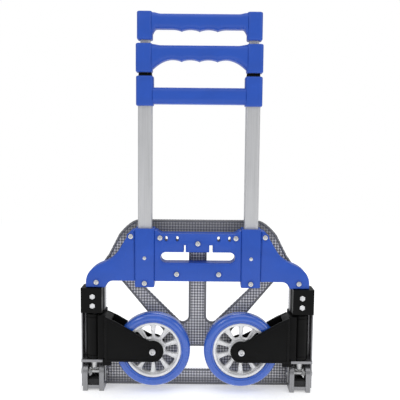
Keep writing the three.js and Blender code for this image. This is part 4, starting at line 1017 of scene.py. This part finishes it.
class HANDTRUCK_OT_forks(TruckPiece, bpy.types.Operator):
    """Swing forks with their shafts, axle bolts, nuts and wheel bushes"""

    bl_idname = "handtruck.forks"
    bl_label = "Wheel forks"

    def execute(self, context):
        low, high = span("axle_bolt_right")
        face = FORK_LOW[1] - 0.1
        recess = hex_recess(2.9, 2.2)
        sizes = AXLE_HEAD_RADIUS, face - low[1], AXLE_RADIUS, high[1]
        bolt = driven_head(AXLE_X, AXLE_Z, face, *sizes, recess)
        low, high = [corner[1] for corner in span("axle_nut_right")]
        nut = [(4.2, low), (6.4, low), (7.0, low + 0.6), (7.0, high - 0.8), (6.1, high), (4.2, high)]
        nut = lathe(nut + nut[:1], "y", AXLE_X, AXLE_Z, 48, nut_sides)
        body = "{}_fork"
        pair("swing_fork", fork_parts(), "sleeve_plastic", body, "wheel_fork", "black_plastic", 40)
        pair("axle_screw", [bolt], "zinc_screw", body, "axle_bolt", "zinc_fastener", 50)
        pair("axle_locknut", [nut], "zinc_screw", body, "axle_nut", "zinc_fastener", 35)
        coat_pair("swing_shaft", "gear_metal")
        coat_pair("wheel_bush", "gear_metal")
        return {"FINISHED"}


RIM_WINDOWS = 10
WINDOW_NEAR, WINDOW_FAR = 21.0, 41.0  # from the axle
WINDOW_SHARE = 0.33  # half a window's share of the angle between two
DISC_HALF = 3.6


def both_faces(profile):
    """A closed lathe profile from its half: (radius, distance from the wheel's middle plane)."""
    near = [(r, WHEEL_Y - h) for r, h in profile]
    return near + [(r, WHEEL_Y + h) for r, h in profile[::-1] if h] + near[:1]


def wheel_window(index):
    """One rim window between two circles, bulged outwards, its corners rounded."""
    turn = 2 * math.pi / RIM_WINDOWS
    a = turn * (index + 1 + WINDOW_SHARE * np.array([-1, -1, 0, 1, 1]))
    r = np.array([WINDOW_NEAR, WINDOW_FAR, WINDOW_FAR + 1, WINDOW_FAR, WINDOW_NEAR])
    return rounded(np.stack([AXLE_X + r * np.cos(a), AXLE_Z + r * np.sin(a)], 1), 3.2)


def rim_parts():
    """The rim: hub, disc with ten windows and a raised edge round each, and the rim barrel with a
    rolled lip on both sides."""
    y, half, radius, lip_half = WHEEL_Y, TYRE_HALF, RIM_RADIUS, TYRE_HALF - 2
    disc = arc(AXLE_X, AXLE_Z, radius - 4.5, 0, 357, 119)
    bore = arc(AXLE_X, AXLE_Z, 10.5, 0, 350, 35)
    windows = [wheel_window(i) for i in range(RIM_WINDOWS)]
    parts = [moulding(disc, [bore, *windows], y - DISC_HALF, y + DISC_HALF, 0.9, 0.9, "y", 2)]
    parts += [bead(w, -2.3, 1.9, y + side * 3.5, side * 1.3, 4) for w in windows for side in (-1, 1)]
    hub = [(8.4, half), (12.2, half), (13.0, half - 0.8), (14.0, DISC_HALF), (17.5, DISC_HALF - 0.4)]
    lip = [(radius - 5.4, 0), (radius - 5.2, lip_half - 3), (radius - 4.4, lip_half - 1)]
    lip += [(radius - 3.2, lip_half), (radius - 1.2, lip_half), (radius, lip_half - 1)]
    parts.append(lathe(both_faces(hub), "y", AXLE_X, AXLE_Z, 64))
    parts.append(lathe(both_faces(lip), "y", AXLE_X, AXLE_Z, 96))
    return parts


def tyre_parts():
    """The tyre: a closed section of radius against depth, flat tread with two fine grooves, round
    shoulders and a step where it meets the rim."""
    half, tread, seat = TYRE_HALF, WHEEL_RADIUS, RIM_RADIUS + FIT
    steps = ((0, 1.2), (1.0, 0.5), (2.6, 0.3), (3.0, 0.9), (3.5, 0.3))
    wall = [(seat + r, half - h) for r, h in steps]
    a = np.radians(np.linspace(0, 90, 9))
    foot = seat + 6.5
    shoulder = [(foot + (tread - foot) * math.sin(t), half - half * 0.62 * (1 - math.cos(t))) for t in a]
    groove = [(tread, half * 0.30), (tread - 0.5, half * 0.27), (tread, half * 0.24)]
    return [lathe(both_faces(wall + shoulder + groove), "y", AXLE_X, AXLE_Z, 128)]


class HANDTRUCK_OT_wheels(TruckPiece, bpy.types.Operator):
    """Tyres and windowed rims"""

    bl_idname = "handtruck.wheels"
    bl_label = "Wheels"

    def execute(self, context):
        pair("silver_rim", rim_parts(), "rim_lacquer", "{}_wheel", "wheel_rim", "rim_silver", 40)
        pair("blue_tyre", tyre_parts(), "tread", "{}_wheel", "tyre", "tyre_blue", 30)
        return {"FINISHED"}


# ------------------------ toe plate


SHOULDER_DROP = 125
SPINE_HALF, SIDE_BAND, TOP_BAND, FOOT_BAND = 15.5, 36, 25, 29


def plate_outline():
    """The plate folded up: straight sides, chamfered shoulders and a rounded top edge."""
    top, wide = PLATE_HIGH[2], PLATE_HIGH[0]
    turn = top - SHOULDER_DROP
    half = tidy([
        [(0, 0)],
        curve((wide - 4, 0), (wide, 0), (wide, 4), 4),
        curve((wide, turn - 6), (wide, turn), (wide - 4, turn + 6), 4),
        curve((PIVOT_X - 15, turn + 52), (PIVOT_X - 18, turn + 58), (PIVOT_X - 22, turn + 62), 4),
        curve((137, turn + 99), (116, top), (100, top), 10),
        [(0, top)],
    ])
    return mirrored(half)


def plate_windows():
    """The openings beside the spine, outside the diagonals and over the foot."""
    top = PLATE_HIGH[2]
    spine, side = SPINE_HALF, PLATE_HIGH[0] - SIDE_BAND
    high, band = top - 81, top - TOP_BAND
    inner = [(spine, band), (spine, 121), (spine + 6, 115), (spine + 14, 115)]
    inner += [(side - 29, high + 1), (side - 56, band)]
    outer = [(side, 62), (side, high), (side - 4, high)]
    outer += [(spine + 44, 98), (spine + 46, 90), (spine + 58, 62)]
    foot = [(-50, FOOT_BAND), (50, FOOT_BAND), (24, 70), (-24, 70)]
    loops = [rounded(corners, 3) for corners in (inner, outer, foot)]
    return loops + [loops[0] * [-1, 1], loops[1] * [-1, 1]]


class HANDTRUCK_OT_toe_plate(TruckPiece, bpy.types.Operator):
    """Toe plate pressed with small diamonds, its pressed edges, brackets and stops"""

    bl_idname = "handtruck.toe_plate"
    bl_label = "Toe plate"

    def execute(self, context):
        low, high = PLATE_LOW[1], PLATE_HIGH[1]
        rise = context.scene.truck_sizes.rim_bead / MM
        outline, windows = plate_outline(), plate_windows()
        sheet = moulding(outline, windows, low, high - 0.7, 0.5, 0.5, "y", 2)
        piece("toe_sheet", [sheet], "diamond_plate", "toe_plate", ["toe_plate"], "mesh_plate", 40)
        edges = []
        for loop, *across in [(outline, 1.0, 3.4)] + [(window, -3.8, 3.0) for window in windows]:
            edges += [bead(loop, *across, low + 0.1, -rise), bead(loop, *across, high - 0.8, 0.7)]
        # the pressed edges carry a darker copy of the sheet metal: painted shade
        piece("toe_pressed_edges", edges, "edge_metal", "toe_plate", (), "mesh_plate", 60)
        softened_pair("toe_cheeks", "toe_bracket", "sheet_metal", "toe_plate", "channel_aluminium", 0.6)
        softened_pair("toe_stop", "toe_bumper", "stop_rubber", "toe_plate", "bumper_rubber", 0.8)
        coat_pair("toe_gear_shaft", "gear_metal")
        return {"FINISHED"}


# ------------------------ stage


FLOOR_REACH, FLOOR_DROP = 2.2, 0.0005  # metres to each side, and under the feet

# Place, aim, side and power of each light, in metres and watts
LIGHTS = {
    "overhead": ((0.2, -0.5, 2.5), (0, 0, 0.2), 2.4, 21),
    "key": ((-1.5, -1.7, 1.9), (0, 0, 0.3), 1.0, 9),
    "fill": ((1.9, -1.3, 1.3), (0, 0, 0.2), 1.0, 6),
    "behind": ((0.3, 1.7, 1.9), (0, 0, 0.4), 1.4, 9),
}


def pale_floor(rgb):
    """A plain floor that glows a little, so that its far side stays as pale as the backdrop."""
    a = FLOOR_REACH
    points = [(x, y, -FLOOR_DROP) for x, y in ((-a, -a), (a, -a), (a, a), (-a, a))]
    mesh = bpy.data.meshes.new("floor")
    mesh.from_pydata(points, [], [(0, 1, 2, 3)])
    f = Finish("floor", rgb, 0.8, Emission_Color=(1, 1, 1, 1), Emission_Strength=0.42)
    mesh.materials.append(f.finish(f.blend(f.noise(1.5, 2), tint(rgb, 0.985), rgb)))
    obj = bpy.data.objects.new("floor", mesh)
    bpy.context.scene.collection.objects.link(obj)


def soft_light(name, where, target, size, watts):
    """A square area light aimed at a point."""
    light = bpy.data.lights.new(name, "AREA")
    light.energy = watts
    light.size = size
    obj = bpy.data.objects.new(name, light)
    obj.location = where
    obj.rotation_euler = (Vector(target) - Vector(where)).to_track_quat("-Z", "Y").to_euler()
    bpy.context.scene.collection.objects.link(obj)


def studio_world():
    """A white backdrop to the eye, and a softer grey surround as light."""
    world = bpy.data.worlds.new("studio")
    world.use_nodes = True
    tree = world.node_tree
    light = tree.nodes["Background"]
    light.inputs["Color"].default_value = (0.97, 0.985, 1.0, 1)
    light.inputs["Strength"].default_value = 0.5
    white = tree.nodes.new("ShaderNodeBackground")
    white.inputs["Color"].default_value = (1, 1, 1, 1)
    mix = tree.nodes.new("ShaderNodeMixShader")
    ray = tree.nodes.new("ShaderNodeLightPath")
    for socket, output in enumerate((ray.outputs["Is Camera Ray"], light.outputs[0], white.outputs[0])):
        tree.links.new(output, mix.inputs[socket])
    tree.links.new(mix.outputs[0], tree.nodes["World Output"].inputs["Surface"])
    return world


def wheel_side_camera():
    """A camera on the wheel side, looking along +Y, a little down and slightly rolled."""
    pitch, roll = math.radians(5.3), math.radians(0.53)
    ahead = Vector((0, math.cos(pitch), -math.sin(pitch)))
    level = Vector((1, 0, 0))
    upright = level.cross(ahead)
    right = level * math.cos(roll) + upright * math.sin(roll)
    up = upright * math.cos(roll) - level * math.sin(roll)
    camera = bpy.data.cameras.new("camera")
    camera.sensor_width = 36.0
    camera.lens = 55.08
    eye = bpy.data.objects.new("camera", camera)
    eye.matrix_world = Matrix((right, up, -ahead)).transposed().to_4x4()
    eye.location = (0.00287, COLUMN_Y * MM - 1.035, 0.427)
    bpy.context.scene.collection.objects.link(eye)
    return eye


class HANDTRUCK_OT_stage(TruckPiece, bpy.types.Operator):
    """Pale floor, soft light and the camera on the wheel side"""

    bl_idname = "handtruck.stage"
    bl_label = "Floor, light and camera"

    def execute(self, context):
        pale_floor((0.9, 0.9, 0.9))
        for name, values in LIGHTS.items():
            soft_light(name, *values)
        context.scene.world = studio_world()
        context.scene.view_settings.view_transform = "Standard"
        context.scene.camera = wheel_side_camera()
        return {"FINISHED"}


# ------------------------ panel and run

OPERATORS = (
    HANDTRUCK_OT_stage,
    HANDTRUCK_OT_columns,
    HANDTRUCK_OT_bars,
    HANDTRUCK_OT_collars,
    HANDTRUCK_OT_chassis,
    HANDTRUCK_OT_screws,
    HANDTRUCK_OT_corners,
    HANDTRUCK_OT_forks,
    HANDTRUCK_OT_wheels,
    HANDTRUCK_OT_toe_plate,
)


class HANDTRUCK_PT_panel(bpy.types.Panel):
    """The hand truck's pieces, sizes and colours"""

    bl_label = "Folding hand truck"
    bl_idname = "HANDTRUCK_PT_panel"
    bl_space_type = "VIEW_3D"
    bl_region_type = "UI"
    bl_category = "Hand truck"

    def draw(self, context):
        for group in (context.scene.truck_sizes, context.scene.truck_colours):
            for name in group.bl_rna.properties.keys():
                if name not in ("rna_type", "name"):
                    self.layout.prop(group, name)
        for operator in OPERATORS:
            self.layout.operator(operator.bl_idname)


CLASSES = (TruckSizes, TruckColours, *OPERATORS, HANDTRUCK_PT_panel)


def register():
    for cls in CLASSES:
        bpy.utils.register_class(cls)
    bpy.types.Scene.truck_sizes = bpy.props.PointerProperty(type=TruckSizes)
    bpy.types.Scene.truck_colours = bpy.props.PointerProperty(type=TruckColours)


def unregister():
    del bpy.types.Scene.truck_sizes
    del bpy.types.Scene.truck_colours
    for cls in reversed(CLASSES):
        bpy.utils.unregister_class(cls)


def main():
    """Builds the whole truck."""
    register()
    for operator in OPERATORS:
        group, name = operator.bl_idname.split(".")
        getattr(getattr(bpy.ops, group), name)()


if __name__ == "__main__":
    main()
